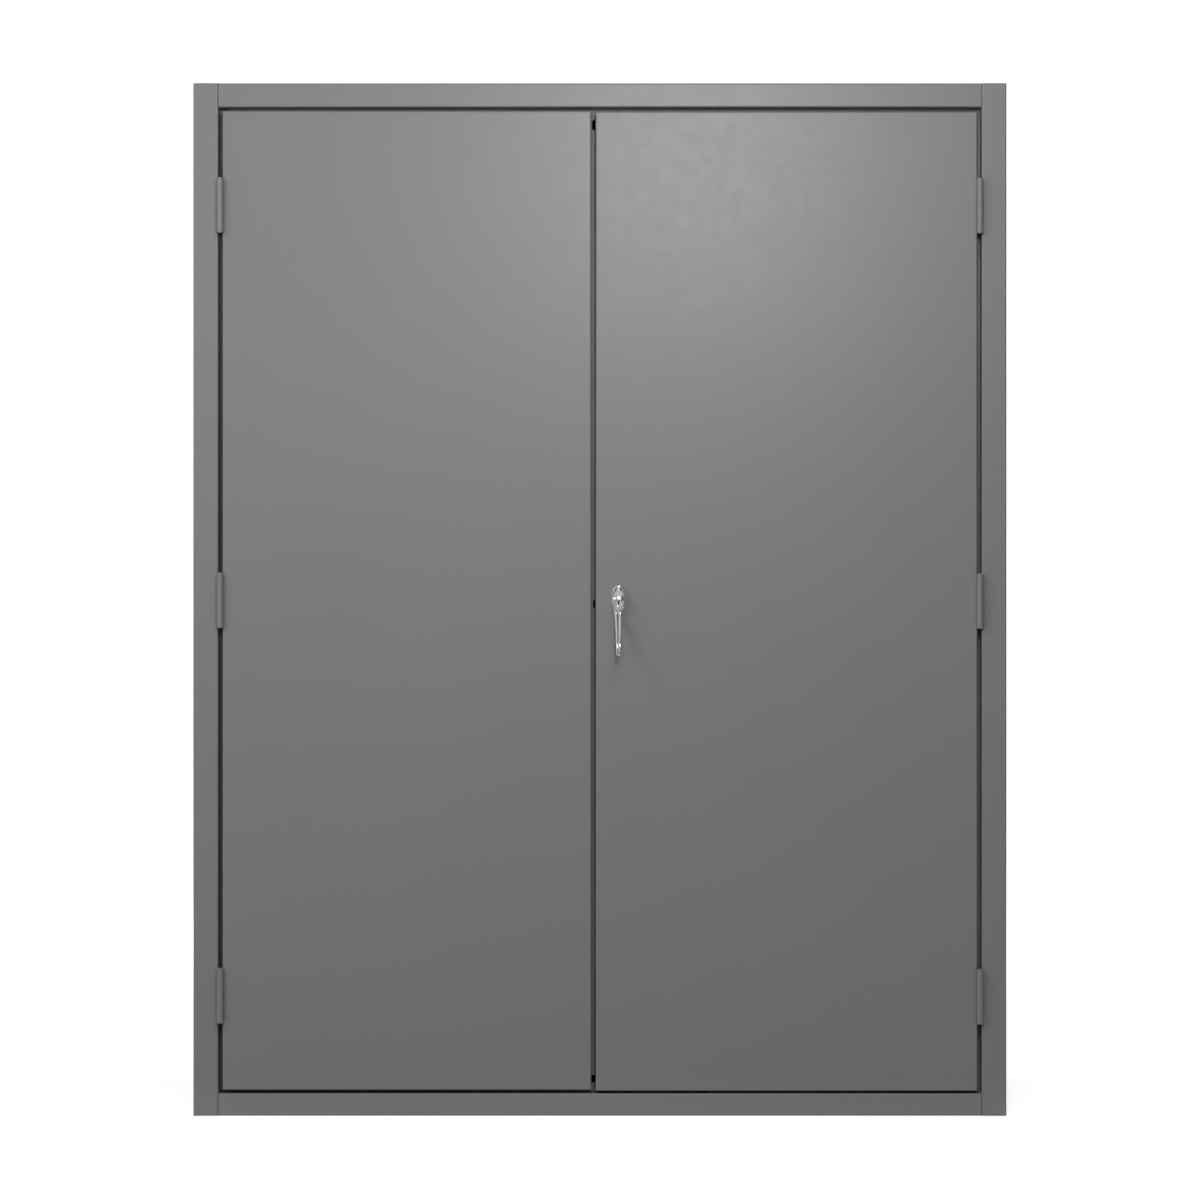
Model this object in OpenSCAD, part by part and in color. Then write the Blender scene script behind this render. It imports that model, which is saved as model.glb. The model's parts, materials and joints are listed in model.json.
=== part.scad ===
// Two-door steel storage cabinet for tools and parts, with flush doors,
// three hinges a door, a locking lever handle and four adjustable shelves.
// Millimetres, +Z up, front towards -Y, origin at the middle of the base.

/* [Cabinet] */
// Overall width of the cabinet
cabinet_w = 1524; // [1200:2:1800]
// Overall height of the cabinet
cabinet_h = 1935; // [1800:5:2200]
// Depth of the shell, from its front face to its back face
cabinet_d = 610; // [450:5:760]
// Thickness of the shell's sheet steel
sheet_t = 1.9; // [1.5:0.1:2.7]
// Outside radius of the folded edges
fold_r = 3; // [2.8:0.1:4.5]

// Radius of the ground corners at the top of the sides
corner_r = 2.5; // [1:0.1:4]

/* [Front frame] */
// Width of each stile beside the doors
stile_w = 46.7; // [38:0.1:70]
// Height of the rail above the doors
top_rail_h = 45; // [38:0.5:70]
// Height of the rail below the doors
bottom_rail_h = 42; // [38:0.5:80]
// Depth of the frame's return behind its face
return_d = 36; // [35.5:0.5:40]
// Width of the lip that the doors close against
stop_w = 16; // [14:0.5:24]
// Width of the bottom stop's foot on the floor
stop_foot = 12; // [8:1:16]
// Width of the welding flanges along the back and the foot
weld_flange_w = 20; // [15:1:30]
// Depth of the foot fold under the bottom rail
foot_w = 25; // [20:1:40]
// Width of the hat channels under the floor
floor_channel_w = 60; // [40:1:80]
// Width of the open seams where the rails meet the stiles
seam_w = 0.5; // [0.2:0.1:1]

/* [Doors] */
// Gap between the frame and the hinge edge of each door
side_gap = 8; // [7.4:0.2:10]
// Gap above the doors
top_gap = 7; // [5:0.5:10]
// Gap below the doors
bottom_gap = 6.5; // [5:0.5:10]
// Gap between the two doors
meeting_gap = 8; // [7:0.5:11]
// How far the gap between the doors lies left of the middle
meeting_shift = 12; // [0:1:30]
// Depth of the folded door pans
door_t = 32; // [31:0.5:33]
// Thickness of the door sheet
door_sheet_t = 1.5; // [1.2:0.1:1.9]
// Width of the lips round the back of the door pans
door_lip_w = 18; // [14:1:26]
// How far the left door stands in front of the frame
left_proud = 0.5; // [0:0.5:2]
// How far the right door stands in front of the frame
right_proud = 2.5; // [1:0.5:3]
// How much lower than the left door the right door hangs
right_drop = 1.5; // [0:0.5:3]
// Width of the hat channel that stiffens each door
stiffener_w = 80; // [50:5:120]
// Height of the hat channel off the door sheet
stiffener_h = 22; // [12:1:27]
// Thickness of the stiffener's sheet
stiffener_t = 1.2; // [1:0.1:2]
// Diameter of the rubber door bumpers
bumper_d = 8; // [6:0.5:8]
// Distance of the bumpers from each door's meeting edge
bumper_inset = 80; // [60:5:150]

/* [Meeting strip] */
// How far the strip's face lies behind the left door's face
strip_depth = 12; // [8:0.5:12.5]
// Running clearance between the strip and the right door
strip_clearance = 1.8; // [1.6:0.1:2.5]
// Thickness of the strip's steel
strip_t = 1.5; // [1.2:0.1:2]
// Depth of the strip's leg that is welded to the left door
strip_leg = 7; // [6:0.5:7]
// Height of the window near the strip's top end
strip_window_h = 18; // [10:1:30]
// Length of the strip's piece above that window
strip_head_h = 16; // [10:1:30]
// Height of the notch in the strip beside the handle
strip_notch_h = 14; // [6:1:30]
// Length of door edge that the strip leaves bare at the bottom
strip_foot_h = 27; // [10:1:60]

/* [Hinges] */
// Length of each hinge
hinge_l = 102; // [76:1:152]
// Diameter of the hinge barrel
barrel_d = 12.7; // [11.5:0.1:16]
// Diameter of the hinge pin
hinge_pin_d = 6.3; // [5:0.1:8]
// Thickness of the hinge leaves
leaf_t = 3; // [2.4:0.1:3.2]
// How far the leaves reach back into the gap
leaf_d = 28; // [20:1:30]
// Distance between the middles of neighbouring hinges
hinge_pitch = 740; // [500:5:850]
// Gap between one knuckle and the next
knuckle_gap = 0.3; // [0.2:0.1:0.6]

/* [Handle] */
// Distance of the handle's axis from the right door's meeting edge
handle_inset = 42.7; // [38:0.5:60]
// Height of the handle's axis above the middle of the door opening
handle_lift = 1; // [-40:1:40]
// Width of the handle's oval base
base_w = 24.5; // [23:0.5:30]
// Height of the handle's oval base
base_h = 55; // [50:1:60]
// Thickness of the base's plate
base_t = 4; // [3:0.5:6]
// Height of the round bearing boss on the base
boss_h = 4; // [3:0.5:6]
// Diameter of the journal that turns in the base
journal_d = 16; // [15:0.5:17]
// Width of the oval head of the lever
head_w = 21; // [19:0.5:24]
// Height of the oval head of the lever
head_h = 43; // [38:1:50]
// How far the head's dome stands out from the door
head_reach = 28; // [26:0.5:34]
// How far the lever's tip stands out from the door
lever_reach = 45; // [40:1:60]
// Length of the lever from the handle's axis to its tip
lever_l = 105; // [85:1:130]
// Width of the lever at its root
lever_root_w = 18.5; // [15:0.5:20]
// Width of the lever at its tip
lever_tip_w = 8.6; // [7:0.2:11]
// Depth of the lever's section
lever_t = 9; // [8:0.5:11]
// Depth of the groove down the lever's front
lever_groove = 1.6; // [0.5:0.1:2.5]
// Diameter of the lock's body
lock_d = 14; // [13:0.5:15]
// Diameter of the lock's turning plug
plug_d = 11; // [9:0.5:11.5]
// How far the lock lies below the handle's axis
lock_drop = 5; // [4:0.5:6]

/* [Latch] */
// Width across the flats of the square spindle
spindle_w = 8; // [7:0.5:8.5]
// Diameter of the lock rods
rod_d = 8; // [6:0.5:9]
// How far each rod moves when the handle is turned
rod_throw = 30; // [24:1:32]
// Depth of the rods' middle behind the right door's face
rod_depth = 13; // [12.5:0.5:14]
// Width of the slots that the thrown rods enter, from front to back
rod_slot_w = 13; // [12:0.5:13]
// Length of the slots that the thrown rods enter, across the cabinet
rod_slot_l = 24; // [16:1:40]
// Depth of the latch plate's front behind the right door's face
cam_depth = 22; // [20.5:0.5:22.5]
// Thickness of the latch plate
cam_t = 3; // [2.5:0.25:3.5]
// Width of the latch plate's tongue
tongue_w = 16; // [12:1:20]
// How far the thrown tongue reaches into the left door's edge
keeper_bite = 14; // [8:1:18]

/* [Shelves] */
// Height of each shelf's folded edge
shelf_h = 35; // [25:1:45]
// Width of the lip folded in under each shelf
shelf_lip_w = 14; // [12:1:20]
// Width of the hat channel under each shelf
shelf_channel_w = 80; // [60:5:140]
// Number of slots from one shelf to the next
shelf_step = 7; // [5:1:7]
// Slot that carries the lowest shelf, counted from the bottom
first_shelf_slot = 6; // [3:1:6]
// Distance between neighbouring slots in a standard
slot_pitch = 50.8; // [40:0.4:52]
// Width of the slotted standards
standard_w = 34; // [28:1:45]
// How far the standards stand in from the side panels
standard_d = 12; // [10:0.5:16]
// Distance from the frame's face to the middle of the front standards
standard_inset = 90; // [75:1:130]
// Width of the shelf clips
clip_w = 16; // [10:1:18]
// Thickness of the shelf clips
clip_t = 3; // [2:0.25:3.5]
// Length of the clips' leg down the standard's face
clip_leg = 14; // [8:1:20]

/* [Hidden] */
$fn = 48;

// Running clearance of pins and journals in their bores, on the radius
fit = 0.06;
// Clearance of round pieces that slide, on the radius
slide_fit = 0.2;
// Clearance of screws in their holes, on the radius
hole_fit = 0.3;
// Clearance of pieces that pass each other freely
free = 0.5;
// How far a cut runs past the face that it opens
past = 1;

// Colours
PAINT = [0.45, 0.45, 0.45];
CHROME = [0.82, 0.83, 0.85];
ZINC = [0.7, 0.71, 0.72];
RUBBER = [0.08, 0.08, 0.08];
NYLON = [0.9, 0.89, 0.85];

// Frame opening
opening_w = cabinet_w - 2 * stile_w;
opening_z0 = bottom_rail_h;
opening_z1 = cabinet_h - top_rail_h;
stop_face_y = return_d - sheet_t;
inner_back_y = cabinet_d - 2 * sheet_t;

// Door edges
left_x0 = -opening_w / 2 + side_gap;
left_x1 = -meeting_shift - meeting_gap / 2;
right_x0 = -meeting_shift + meeting_gap / 2;
right_x1 = opening_w / 2 - side_gap;
door_z0 = opening_z0 + bottom_gap;
door_z1 = opening_z1 - top_gap;
door_h = door_z1 - door_z0;
door_mid_z = (door_z0 + door_z1) / 2;
right_z0 = door_z0 - right_drop;

// Hinge axes, each as far in front of its own door as the barrel needs
barrel_r = barrel_d / 2;
hinge_x = opening_w / 2 - side_gap / 2;
left_axis_y = -left_proud - barrel_r - free;
right_axis_y = -right_proud - barrel_r - free;
knuckles = 4;
knuckle_l = hinge_l / knuckles;
pin_head_step = 1.2;
pin_head_r = hinge_pin_d / 2 + pin_head_step;
pin_head_h = 1.4;

// Handle axis
handle_x = right_x0 + handle_inset;
handle_z = door_mid_z + handle_lift;
front_reach = right_proud + lever_reach;
middle_y = (cabinet_d - front_reach) / 2;
// How far the arcs of each oval would meet, as a share of half its height
base_point = 1.3;
head_point = 1.06;
head_gap = 0.5;
head_back = base_t + boss_h + head_gap;
dome_r = 25;
socket_depth = 3;
lock_back = head_back + socket_depth + 1;
lock_face = head_reach + 1;
keyway_w = 2;
keyway_h = 7.5;
keyway_depth = 10;
plug_end = 2;
plug_proud = 0.5;
root_reach = head_reach - 12;
lever_root_z = -head_h / 2 + 6;
// The lever's shape: how soon it has swung out, how it narrows and thins, and where its flanks start
rise = 1.15;
narrowing = 0.9;
thinning = 0.25;
flank_start = 0.3;
lever_points = 16;
lever_rings = 8;
tip_start = 1 - 0.5 * lever_tip_w / (lever_l + lever_root_z);
tip_flat = 0.3;
groove_share = 0.42;
base_screw_pitch = base_h * 0.68;
base_screw_d = 4;
screw_skin = 1;
screw_head_h = 2.5;
screw_head_r = 3.6;
boss_step = 1.2;
plate_w = 20;
plate_t = 2.5;
plate_end = 7;

// Latch plate and rods: the hook slots' direction at rest is in degrees from +x
hook_angle = -45;
arm = rod_throw / 2;
hook_slack = 0.08 * arm + 0.4;
hook_slot_r = rod_d / 2 + hook_slack;
hook_play = 0.3;
hook_in = arm - hook_play;
hook_out = arm * sqrt(2) + hook_play;
cam_lobe_wall = 4;
cam_lobe_r = hook_slot_r + cam_lobe_wall;
clip_ring_r = hook_slot_r + 2.5;
clip_ring_t = 1.2;
clip_ring_gap = 0.6;
hook_past = 1.4;
hook_end = cam_depth + cam_t + clip_ring_gap + clip_ring_t + hook_past;
hook_bend_r = rod_d / 2 + 2;
upper_rod_x = handle_x + arm;
lower_rod_x = handle_x - arm;
rod_y = rod_depth - right_proud;
bush_wall = 2;
bush_flange = 2.5;
bush_l = 4;
bush_flange_t = 2;
guide_w = 28;
guide_h = 24;
guide_t = 2;
guide_arm_t = 3;
guide_wall = 4;
rod_tip_in = 1;
cam_y0 = cam_depth - right_proud;
tongue_l = handle_x - left_x1 + keeper_bite;
tongue_free = 1.5;
washer_r = arm - clip_ring_r - free;
washer_t = 1.5;
nut_t = 4.5;
nut_w = 10;
stud_d = 6;
stud_end = 1;
rod_tip_l = 3;
rod_tip_step = 1.5;

// Shelves and standards
standard_gap = 8;
standard_z0 = opening_z0 + standard_gap;
standard_l = opening_z1 - standard_gap - standard_z0;
slot_w = clip_w + 1;
slot_h = clip_t + 2;
slot_margin = 24;
first_slot_z = standard_z0 + slot_margin;
slot_count = floor((standard_l - 2 * slot_margin) / slot_pitch) + 1;
standard_face_x = cabinet_w / 2 - sheet_t - standard_d;
shelf_side_gap = 1.5;
shelf_w = 2 * (standard_face_x - shelf_side_gap);
shelf_end_gap = 4;
shelf_y0 = stop_face_y + stop_foot + shelf_end_gap;
shelf_depth = inner_back_y - shelf_end_gap - shelf_y0;
hat_foot = 16;
shelf_channel_h = shelf_h - sheet_t - shelf_end_gap;
clip_hook_gap = 0.4;
clip_hook_h = slot_h + 5;
front_standard_y = standard_inset;
rear_standard_y = inner_back_y - standard_inset + return_d;

// Moves a piece from the frame-face layout (y = 0 at the frame's face) to the part's origin
module placed() {
    translate([0, -middle_y, 0]) children();
}

// Extrudes a profile drawn in (y, z) from x0 to x1
module along_x(x0, x1) {
    translate([x0, 0, 0]) rotate([90, 0, 90]) linear_extrude(x1 - x0) children();
}

// Extrudes a profile drawn in (x, z) from y0 to y1
module along_y(y0, y1) {
    translate([0, y1, 0]) rotate([90, 0, 0]) linear_extrude(y1 - y0) children();
}

// A box from its low corner to its high corner
module box(low, high) {
    translate(low) cube(high - low);
}

// What rounds a corner at p to radius r: s points from the corner into the metal
module fold_corner(p, s, r) {
    far = 1;
    translate(p) mirror([s[0] < 0 ? 1 : 0, 0]) mirror([0, s[1] < 0 ? 1 : 0]) difference() {
        translate([-far, -far]) square(r + far);
        translate([r, r]) circle(r);
    }
}

// A block whose face at y = 0 has its four edges rounded
module pan_block(size, r) {
    w = size[0];
    d = size[1];
    h = size[2];
    intersection() {
        linear_extrude(h) difference() {
            square([w, d]);
            fold_corner([0, 0], [1, 1], r);
            fold_corner([w, 0], [-1, 1], r);
        }
        along_x(0, w) difference() {
            square([d, h]);
            fold_corner([0, 0], [1, 1], r);
            fold_corner([0, h], [1, -1], r);
        }
    }
}

// A folded pan: a face at y = 0, four sides and a lip round the back
module pan(size, t, lip, r) {
    difference() {
        pan_block(size, r);
        translate([t, t, t]) pan_block([size[0] - 2 * t, size[1] - 2 * t, size[2] - 2 * t], r - t);
        translate([lip, size[1] / 2, lip]) cube([size[0] - 2 * lip, size[1], size[2] - 2 * lip]);
    }
}

// Section of a hat channel on y = 0: web at height h, two feet of width foot
module hat_section(w, h, t, foot) {
    difference() {
        union() {
            translate([-w / 2, 0]) square([w, t]);
            translate([-w / 2 + foot, 0]) square([w - 2 * foot, h]);
        }
        translate([-w / 2 + foot + t, -t]) square([w - 2 * foot - 2 * t, h]);
    }
}

// Shell of the cabinet

module side_panel() {
    x0 = -cabinet_w / 2;
    difference() {
        union() {
            box([x0, 0, 0], [x0 + sheet_t, cabinet_d - sheet_t, cabinet_h]);
            box([x0, 0, 0], [x0 + stile_w, sheet_t, cabinet_h]);
            box([x0 + stile_w - sheet_t, 0, 0], [x0 + stile_w, return_d, cabinet_h - sheet_t]);
            box([x0 + stile_w - sheet_t, stop_face_y, opening_z0],
                [x0 + stile_w + stop_w, return_d, opening_z1]);
            box([x0, inner_back_y, 0], [x0 + weld_flange_w, cabinet_d - sheet_t, cabinet_h - sheet_t]);
            box([x0, return_d, 0], [x0 + weld_flange_w, inner_back_y, sheet_t]);
        }
        translate([0, 0, -past]) linear_extrude(cabinet_h + 2 * past) {
            fold_corner([x0, 0], [1, 1], fold_r);
            fold_corner([x0 + stile_w, 0], [-1, 1], fold_r);
            fold_corner([x0, cabinet_d - sheet_t], [1, -1], fold_r);
        }
        along_y(-past, cabinet_d + past) fold_corner([x0, cabinet_h], [1, -1], corner_r);
    }
}

module left_side_panel() {
    color(PAINT) placed() side_panel();
}

module right_side_panel() {
    color(PAINT) placed() mirror([1, 0, 0]) side_panel();
}

// The open seams between a rail's face and the stiles
module rail_seams(z0, z1) {
    half = opening_w / 2;
    for (side = [0, 1]) mirror([side, 0, 0])
        box([-half - past, -past, z0 - past], [-half + seam_w, fold_r, z1 + past]);
}

// The slot that a thrown rod enters, through a sheet whose underside is at z
module rod_slot(x, z) {
    translate([x - rod_slot_l / 2, rod_y - rod_slot_w / 2, z - past])
        cube([rod_slot_l, rod_slot_w, sheet_t + 2 * past]);
}

module top_panel() {
    half = opening_w / 2;
    flange_x = cabinet_w / 2 - weld_flange_w;
    z0 = opening_z1;
    color(PAINT) placed() difference() {
        union() {
            box([-cabinet_w / 2 + sheet_t, sheet_t, cabinet_h - sheet_t],
                [cabinet_w / 2 - sheet_t, cabinet_d - sheet_t, cabinet_h]);
            box([-half, 0, cabinet_h - sheet_t], [half, return_d, cabinet_h]);
            box([-half, 0, z0], [half, sheet_t, cabinet_h]);
            box([-half, 0, z0], [half, stop_face_y, z0 + sheet_t]);
            box([-half, stop_face_y - sheet_t, z0], [half, stop_face_y, cabinet_h]);
            box([-flange_x, inner_back_y, cabinet_h - weld_flange_w],
                [flange_x, cabinet_d - sheet_t, cabinet_h]);
        }
        along_x(-half - past, half + past) {
            fold_corner([0, cabinet_h], [1, -1], fold_r);
            fold_corner([0, z0], [1, 1], fold_r);
            fold_corner([stop_face_y, z0], [-1, 1], fold_r);
        }
        rail_seams(z0, cabinet_h);
        rod_slot(upper_rod_x, z0);
    }
}

module bottom_panel() {
    half = opening_w / 2;
    inner = cabinet_w / 2 - sheet_t;
    flange_x = cabinet_w / 2 - weld_flange_w;
    z1 = opening_z0;
    color(PAINT) placed() difference() {
        union() {
            box([-inner, return_d, z1 - sheet_t], [inner, inner_back_y, z1]);
            box([-half, 0, z1 - sheet_t], [half, inner_back_y, z1]);
            box([-half, 0, 0], [half, sheet_t, z1]);
            box([-half, 0, 0], [half, foot_w, sheet_t]);
            box([-flange_x, inner_back_y, 0], [flange_x, cabinet_d - sheet_t, z1]);
        }
        along_x(-half - past, half + past) {
            fold_corner([0, z1], [1, -1], fold_r);
            fold_corner([0, 0], [1, 1], fold_r);
        }
        rail_seams(0, z1);
        rod_slot(lower_rod_x, z1 - sheet_t);
    }
}

module back_panel() {
    color(PAINT) placed()
        box([-cabinet_w / 2, cabinet_d - sheet_t, 0], [cabinet_w / 2, cabinet_d, cabinet_h]);
}

module top_door_stop() {
    half = opening_w / 2 - stop_w;
    color(PAINT) placed()
        box([-half, stop_face_y, opening_z1 - stop_w], [half, return_d, opening_z1 + stop_foot]);
}

module bottom_door_stop() {
    half = opening_w / 2 - stop_w;
    color(PAINT) placed() {
        box([-half, stop_face_y, opening_z0], [half, return_d, opening_z0 + stop_w]);
        box([-half, stop_face_y, opening_z0], [half, stop_face_y + stop_foot, opening_z0 + sheet_t]);
    }
}

module floor_channels() {
    color(PAINT) placed() for (side = [-1, 1])
        translate([side * cabinet_w / 4, 0, 0]) along_y(return_d, inner_back_y)
            translate([0, bottom_rail_h - sheet_t]) mirror([0, 1])
                hat_section(floor_channel_w, bottom_rail_h - sheet_t, sheet_t, hat_foot);
}

// Shelving

module standard(y) {
    x0 = -cabinet_w / 2 + sheet_t;
    face = x0 + standard_d;
    difference() {
        box([x0, y - standard_w / 2, standard_z0], [face, y + standard_w / 2, standard_z0 + standard_l]);
        box([x0 - past, y - standard_w / 2 + sheet_t, standard_z0 - past],
            [face - sheet_t, y + standard_w / 2 - sheet_t, standard_z0 + standard_l + past]);
        for (i = [0 : slot_count - 1])
            translate([face - 2 * sheet_t, y - slot_w / 2, first_slot_z + i * slot_pitch])
                cube([3 * sheet_t, slot_w, slot_h]);
    }
}

module front_left_standard() {
    color(PAINT) placed() standard(front_standard_y);
}

module rear_left_standard() {
    color(PAINT) placed() standard(rear_standard_y);
}

module front_right_standard() {
    color(PAINT) placed() mirror([1, 0, 0]) standard(front_standard_y);
}

module rear_right_standard() {
    color(PAINT) placed() mirror([1, 0, 0]) standard(rear_standard_y);
}

// Height of the slot that carries shelf n, counted from 1
function shelf_slot_z(n) = first_slot_z + (first_shelf_slot + (n - 1) * shelf_step) * slot_pitch;

// Height of the underside of shelf n
function shelf_seat_z(n) = shelf_slot_z(n) + clip_t;

module shelf(n) {
    color(PAINT) placed() translate([-shelf_w / 2, shelf_y0, shelf_seat_z(n) + shelf_h]) rotate([-90, 0, 0])
        pan([shelf_w, shelf_h, shelf_depth], sheet_t, shelf_lip_w, fold_r);
}

module shelf_channel(n) {
    end_gap = fold_r + free;
    color(PAINT) placed() translate([0, shelf_y0 + shelf_depth / 2, shelf_seat_z(n) + shelf_h - sheet_t])
        along_x(-shelf_w / 2 + end_gap, shelf_w / 2 - end_gap)
            mirror([0, 1]) hat_section(shelf_channel_w, shelf_channel_h, sheet_t, hat_foot);
}

// A clip hooked through a slot: its section in (x, z), with x = 0 on the standard's face
module clip_section() {
    hook_x = -sheet_t - clip_hook_gap - clip_t;
    translate([hook_x, 0]) square([shelf_lip_w - hook_x, clip_t]);
    translate([hook_x, 0]) square([clip_t, clip_hook_h]);
    translate([0, -clip_leg]) square([clip_t, clip_leg + clip_t]);
}

module shelf_clips() {
    color(ZINC) placed() for (n = [1 : 4], y = [front_standard_y, rear_standard_y], side = [0, 1])
        mirror([side, 0, 0]) translate([-standard_face_x, 0, shelf_slot_z(n)])
            along_y(y - clip_w / 2, y + clip_w / 2) clip_section();
}

// Hinges

// Height of the middle of hinge k: 1 upper, 0 middle, -1 lower
function hinge_z(k) = door_mid_z + k * hinge_pitch;

// One leaf of the left door's hinge, about its axis: dir -1 for the frame's, 1 for the door's.
// Its knuckles are every second one from first, counted up from 0
module leaf(dir, axis_y, first) {
    back = leaf_d - axis_y;
    x_near = side_gap / 2 - leaf_t;
    difference() {
        union() {
            scale_x(dir) box([x_near, barrel_r + free, -hinge_l / 2], [x_near + leaf_t, back, hinge_l / 2]);
            for (i = [first : 2 : knuckles - 1]) {
                z0 = -hinge_l / 2 + i * knuckle_l + knuckle_gap / 2;
                z1 = z0 + knuckle_l - knuckle_gap;
                translate([0, 0, z0]) cylinder(r = barrel_r, h = z1 - z0);
                scale_x(dir) box([x_near, 0, z0], [x_near + leaf_t, back, z1]);
            }
        }
        cylinder(r = hinge_pin_d / 2 + fit, h = hinge_l + 2 * past, center = true);
    }
}

// Mirrors in x where dir is -1
module scale_x(dir) {
    mirror([dir < 0 ? 1 : 0, 0, 0]) children();
}

module left_leaf(dir, first, k) {
    color(PAINT) placed() translate([-hinge_x, left_axis_y, hinge_z(k)]) leaf(dir, left_axis_y, first);
}

module right_leaf(dir, first, k) {
    color(PAINT) placed() translate([hinge_x, right_axis_y, hinge_z(k) - right_drop])
        mirror([1, 0, 0]) leaf(dir, right_axis_y, first);
}

module hinge_pin() {
    half = hinge_l / 2;
    cylinder(r = hinge_pin_d / 2, h = hinge_l, center = true);
    translate([0, 0, half]) cylinder(r1 = pin_head_r, r2 = pin_head_r - 1, h = pin_head_h);
    translate([0, 0, -half - pin_head_h]) cylinder(r1 = pin_head_r - 1, r2 = pin_head_r, h = pin_head_h);
}

module left_hinge_pins() {
    color(PAINT) placed() for (k = [-1 : 1])
        translate([-hinge_x, left_axis_y, hinge_z(k)]) hinge_pin();
}

module right_hinge_pins() {
    color(PAINT) placed() for (k = [-1 : 1])
        translate([hinge_x, right_axis_y, hinge_z(k) - right_drop]) hinge_pin();
}

// Left door

// Height that the tongue's tip corner sweeps to where it crosses a plane at distance d
function tongue_sweep(d) = sqrt(pow(tongue_l, 2) + pow(tongue_w / 2, 2) - pow(d, 2));

// The slot that the tongue swings through, in a door edge between x0 and x1
module tongue_slot(x0, x1) {
    d = handle_x - x1;
    box([x0, cam_y0 - tongue_free, handle_z - tongue_w / 2 - tongue_free],
        [x1, cam_y0 + cam_t + tongue_free, handle_z + tongue_sweep(d) + tongue_free]);
}

module left_door_pan() {
    color(PAINT) placed() difference() {
        translate([left_x0, -left_proud, door_z0])
            pan([left_x1 - left_x0, door_t, door_h], door_sheet_t, door_lip_w, fold_r);
        tongue_slot(left_x1 - 2 * door_sheet_t, left_x1 + past);
    }
}

module door_stiffener(x, y, z) {
    end_gap = fold_r + free;
    translate([x, y + door_sheet_t, z + end_gap]) linear_extrude(door_h - 2 * end_gap)
        hat_section(stiffener_w, stiffener_h, stiffener_t, hat_foot);
}

module left_door_stiffener() {
    color(PAINT) placed() door_stiffener((left_x0 + left_x1) / 2, -left_proud, door_z0);
}

module meeting_strip() {
    y0 = strip_depth - left_proud;
    x1 = right_x0 - strip_clearance;
    window_z1 = door_z1 - strip_head_h;
    notch_w = (x1 - left_x1) / 2;
    color(PAINT) placed() difference() {
        union() {
            box([left_x1, y0, door_z0 + strip_foot_h], [x1, y0 + strip_t, door_z1 - fold_r]);
            box([left_x1, y0, door_z0 + strip_foot_h],
                [left_x1 + strip_t, y0 + strip_leg, door_z1 - fold_r]);
        }
        box([left_x1 + strip_t, y0 - past, window_z1 - strip_window_h],
            [x1 + past, y0 + 2 * strip_t, window_z1]);
        box([x1 - notch_w, y0 - past, handle_z - strip_notch_h], [x1 + past, y0 + 2 * strip_t, handle_z]);
    }
}

// Two bumpers on a door's back, from its lips to just short of the stops
module bumpers(x, proud, z0) {
    y0 = door_t - proud;
    edge = bumper_d / 2 + hole_fit;
    for (z = [z0 + edge, z0 + door_h - edge])
        translate([x, 0, z]) along_y(y0, stop_face_y - hole_fit) circle(bumper_d / 2);
}

module left_door_bumpers() {
    color(RUBBER) placed() bumpers(left_x1 - bumper_inset, left_proud, door_z0);
}

// Right door

module right_door_pan() {
    color(PAINT) placed() difference() {
        translate([right_x0, -right_proud, right_z0])
            pan([right_x1 - right_x0, door_t, door_h], door_sheet_t, door_lip_w, fold_r);
        tongue_slot(right_x0 - past, right_x0 + 2 * door_sheet_t);
        for (rod = [[upper_rod_x, right_z0 + door_h], [lower_rod_x, right_z0]])
            translate([rod[0], rod_y, rod[1]])
                cylinder(r = rod_d / 2 + bush_wall + fit, h = 4 * door_sheet_t, center = true);
        at_handle() along_y(-past, door_sheet_t + past) handle_holes();
    }
}

module right_door_stiffener() {
    color(PAINT) placed() door_stiffener((right_x0 + right_x1) / 2, -right_proud, right_z0);
}

module right_door_bumpers() {
    color(RUBBER) placed() bumpers(right_x0 + bumper_inset, right_proud, right_z0);
}

// A bracket on the door sheet with a hole that the rod slides in
module rod_guide(x, z) {
    y0 = -right_proud + door_sheet_t;
    difference() {
        union() {
            box([x - guide_w / 2, y0, z - guide_h / 2], [x + guide_w / 2, y0 + guide_t, z + guide_h / 2]);
            box([x - guide_w / 2, y0, z - guide_arm_t / 2],
                [x + guide_w / 2, rod_y + rod_d / 2 + guide_wall, z + guide_arm_t / 2]);
        }
        translate([x, rod_y, z]) cylinder(r = rod_d / 2 + slide_fit, h = 2 * guide_arm_t, center = true);
    }
}

module upper_rod_guide() {
    color(ZINC) placed() rod_guide(upper_rod_x, handle_z + door_h / 4);
}

module lower_rod_guide() {
    color(ZINC) placed() rod_guide(lower_rod_x, handle_z - door_h / 4);
}

// Flanged bush in a door edge, for one rod; up is 1 at the top edge and -1 at the bottom
module rod_bush(x, z, up) {
    barrel_r = rod_d / 2 + bush_wall;
    translate([x, rod_y, z]) mirror([0, 0, up > 0 ? 1 : 0]) difference() {
        union() {
            cylinder(r = barrel_r, h = door_sheet_t + bush_l);
            translate([0, 0, door_sheet_t]) cylinder(r = barrel_r + bush_flange, h = bush_flange_t);
        }
        translate([0, 0, -past]) cylinder(r = rod_d / 2 + slide_fit, h = door_sheet_t + bush_l + 2 * past);
    }
}

module rod_bushes() {
    color(NYLON) placed() {
        rod_bush(upper_rod_x, right_z0 + door_h, 1);
        rod_bush(lower_rod_x, right_z0, -1);
    }
}

// Handle: its own frame has y = 0 on the right door's face and negative y outwards

module at_handle() {
    translate([handle_x, -right_proud, handle_z]) children();
}

// An oval of two arcs that would meet at point times half its height, its ends blunted by a circle
module oval(w, h, point) {
    tall = h / 2 * point;
    reach = (tall * tall + w * w / 4) / w;
    intersection() {
        translate([reach - w / 2, 0]) circle(reach);
        translate([w / 2 - reach, 0]) circle(reach);
        circle(h / 2);
    }
}

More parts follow.
